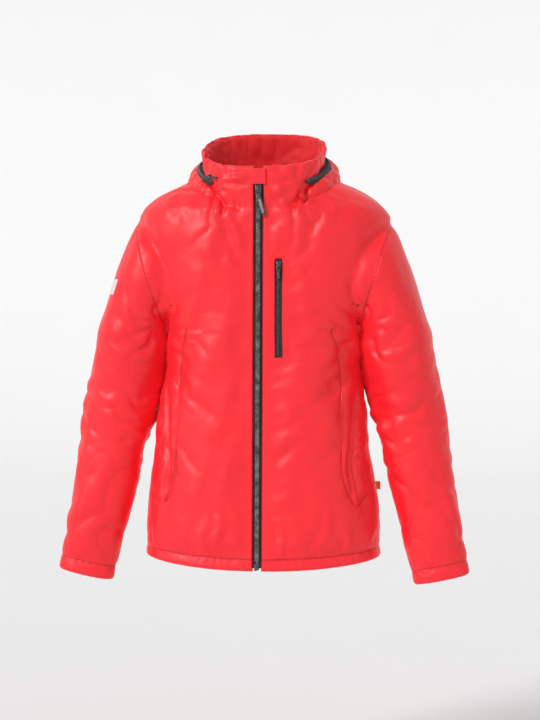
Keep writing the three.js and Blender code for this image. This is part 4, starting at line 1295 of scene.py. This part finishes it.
class JACKET_OT_fabric(bpy.types.Operator):
    """Sew the padded shell, its collar, hem and cuffs, and both sleeves, which bend with their joints"""
    bl_idname = "jacket.fabric"
    bl_label = "Sew the padded fabric"

    def execute(self, context):
        sew_jacket()
        torso = ["back_shell", "back_padding", "back_lining", "hem_band", "collar_shell", "collar_lining"]
        for side in SIDES:
            torso += [side + "_front_" + layer for layer in LAYERS]
        finish_piece(FABRIC["torso"], torso, "jacket_body")
        for side, sign in SIDES.items():
            def place(distance):
                spot = on_axis(distance)
                return tuple(at(sign * spot[0], ELBOW_DEPTH, spot[1]))

            arm, forearm = side + "_upper_sleeve", side + "_forearm"
            nodes = [side + "_sleeve_head"] + [f"{arm}_{layer}" for layer in LAYERS]
            upper = finish_piece(FABRIC[side + "_upper"], nodes)
            start, end = UPPER_BLEND
            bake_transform(upper, "jacket_body", arm, start=place(start), end=place(end))
            nodes = [side + "_elbow_section", side + "_cuff_band"] + [f"{forearm}_{layer}" for layer in LAYERS]
            lower = finish_piece(FABRIC[side + "_lower"], nodes)
            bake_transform(lower, arm, forearm, start=place(-ELBOW_HALF), end=place(ELBOW_HALF))
        return {"FINISHED"}


class JACKET_OT_front_zip(bpy.types.Operator):
    """Fit the front zip: teeth, tapes, slider, pull, pin, box, storm flap and chin guard"""
    bl_idname = "jacket.front_zip"
    bl_label = "Fit the front zip"

    def execute(self, context):
        make_front_zip()
        return {"FINISHED"}


class JACKET_OT_chest_zip(bpy.types.Operator):
    """Fit the chest pocket's zip and its bag"""
    bl_idname = "jacket.chest_zip"
    bl_label = "Fit the chest zip"

    def execute(self, context):
        make_chest_zip()
        return {"FINISHED"}


class JACKET_OT_pockets(bpy.types.Operator):
    """Sew the hand pockets' welts and bags"""
    bl_idname = "jacket.pockets"
    bl_label = "Sew the hand pockets"

    def execute(self, context):
        make_pockets()
        return {"FINISHED"}


class JACKET_OT_hood(bpy.types.Operator):
    """Sew the collar's pouch with the hood rolled inside it, and fit its zip"""
    bl_idname = "jacket.hood"
    bl_label = "Sew the hood pouch"

    def execute(self, context):
        make_hood()
        return {"FINISHED"}


class JACKET_OT_trims(bpy.types.Operator):
    """Sew on the hanger loop, the side tab, the sleeve patch and the cuffs' elastic"""
    bl_idname = "jacket.trims"
    bl_label = "Sew on the trims"

    def execute(self, context):
        make_trims()
        return {"FINISHED"}


class JACKET_OT_stage(bpy.types.Operator):
    """Set the pale floor, the soft studio light and the camera"""
    bl_idname = "jacket.stage"
    bl_label = "Set the stage"

    def execute(self, context):
        set_stage()
        return {"FINISHED"}


AIM = (12.0, 0.0, 371.0)
AZIMUTH = math.radians(5.5)
ELEVATION = math.radians(3.3)
DISTANCE = 3.55


def light(name, place, size, power, colour=(1, 1, 1)):
    data = bpy.data.lights.new(name, "AREA")
    data.shape = "RECTANGLE"
    data.size, data.size_y = size
    data.energy = power
    data.color = colour
    lamp = linked(name, data)
    lamp.location = Vector(place)
    lamp.rotation_euler = (at(0, 0, 400) - Vector(place)).to_track_quat("-Z", "Y").to_euler()
    return lamp


def set_stage():
    scene = bpy.context.scene
    back = Vector((math.sin(AZIMUTH) * math.cos(ELEVATION), -math.cos(AZIMUTH) * math.cos(ELEVATION),
                   math.sin(ELEVATION)))
    camera = linked("camera", bpy.data.cameras.new("camera"))
    camera.data.lens = 97.0
    camera.data.sensor_fit = "VERTICAL"
    camera.data.sensor_width = 36.0
    camera.data.sensor_height = 36.0
    camera.location = at(*AIM) + back * DISTANCE
    camera.rotation_euler = (-back).to_track_quat("-Z", "Y").to_euler()
    scene.camera = camera
    floor_z = to_frame([0, 0, -460])[2]
    wide, behind, bend, high = 30.0, 8.0, 3.0, 14.0
    profile_points = [(-wide, floor_z), (behind - bend, floor_z)]
    for share in np.linspace(0.05, 1, 24):
        turn = share * math.pi / 2
        profile_points.append((behind - bend + bend * math.sin(turn), floor_z + bend - bend * math.cos(turn)))
    profile_points.append((behind, floor_z + high))
    mesh = bpy.data.meshes.new("floor")
    mesh.from_pydata([(x, y, z) for y, z in profile_points for x in (-wide, wide)], [],
                     [(2 * i, 2 * i + 1, 2 * i + 3, 2 * i + 2) for i in range(len(profile_points) - 1)])
    mesh.shade_smooth()
    floor = linked("floor", mesh)
    material, tree, shader = node_material("studio floor")
    if tree:
        place = add_node(tree, "ShaderNodeTexCoord").outputs["Object"]
        grain = speckle(tree, place, 3.0, 3.0)
        tree.links.new(colour_ramp(tree, grain, [0.83] * 3, [0.845] * 3), shader.inputs["Base Color"])
        shader.inputs["Roughness"].default_value = 0.9
    floor.data.materials.append(material)
    world = bpy.data.worlds.new("studio")
    world.use_nodes = True
    background = world.node_tree.nodes["Background"]
    background.inputs["Color"].default_value = (1.0, 1.0, 1.0, 1)
    background.inputs["Strength"].default_value = 0.62
    scene.world = world
    sun = linked("sun", bpy.data.lights.new("sun", "SUN"))
    sun.data.energy = 1.75
    sun.data.angle = math.radians(14)
    sun.rotation_euler = Vector((0.62, 0.66, -0.52)).to_track_quat("-Z", "Y").to_euler()
    light("fill", (2.0, -2.4, 0.5), (1.8, 1.8), 4)
    scene.view_settings.view_transform = "Standard"


class JACKET_PT_panel(bpy.types.Panel):
    """The jacket's settings and steps"""
    bl_idname = "JACKET_PT_panel"
    bl_label = "Padded ski jacket"
    bl_space_type = "VIEW_3D"
    bl_region_type = "UI"
    bl_category = "Jacket"

    def draw(self, context):
        for name in JacketSettings.__annotations__:
            self.layout.prop(context.scene.jacket_settings, name)
        for operator in OPERATORS:
            self.layout.operator(operator.bl_idname)


OPERATORS = (JACKET_OT_fabric, JACKET_OT_front_zip, JACKET_OT_chest_zip, JACKET_OT_pockets, JACKET_OT_hood,
             JACKET_OT_trims, JACKET_OT_stage)
CLASSES = (JacketSettings, *OPERATORS, JACKET_PT_panel)


def register():
    for item in CLASSES:
        bpy.utils.register_class(item)
    bpy.types.Scene.jacket_settings = bpy.props.PointerProperty(type=JacketSettings)


def unregister():
    del bpy.types.Scene.jacket_settings
    for item in reversed(CLASSES):
        bpy.utils.unregister_class(item)


def main():
    register()
    for operator in OPERATORS:
        group, name = operator.bl_idname.split(".")
        if getattr(getattr(bpy.ops, group), name)() != {"FINISHED"}:
            raise RuntimeError(operator.bl_idname + " stopped")


if __name__ == "__main__":
    main()
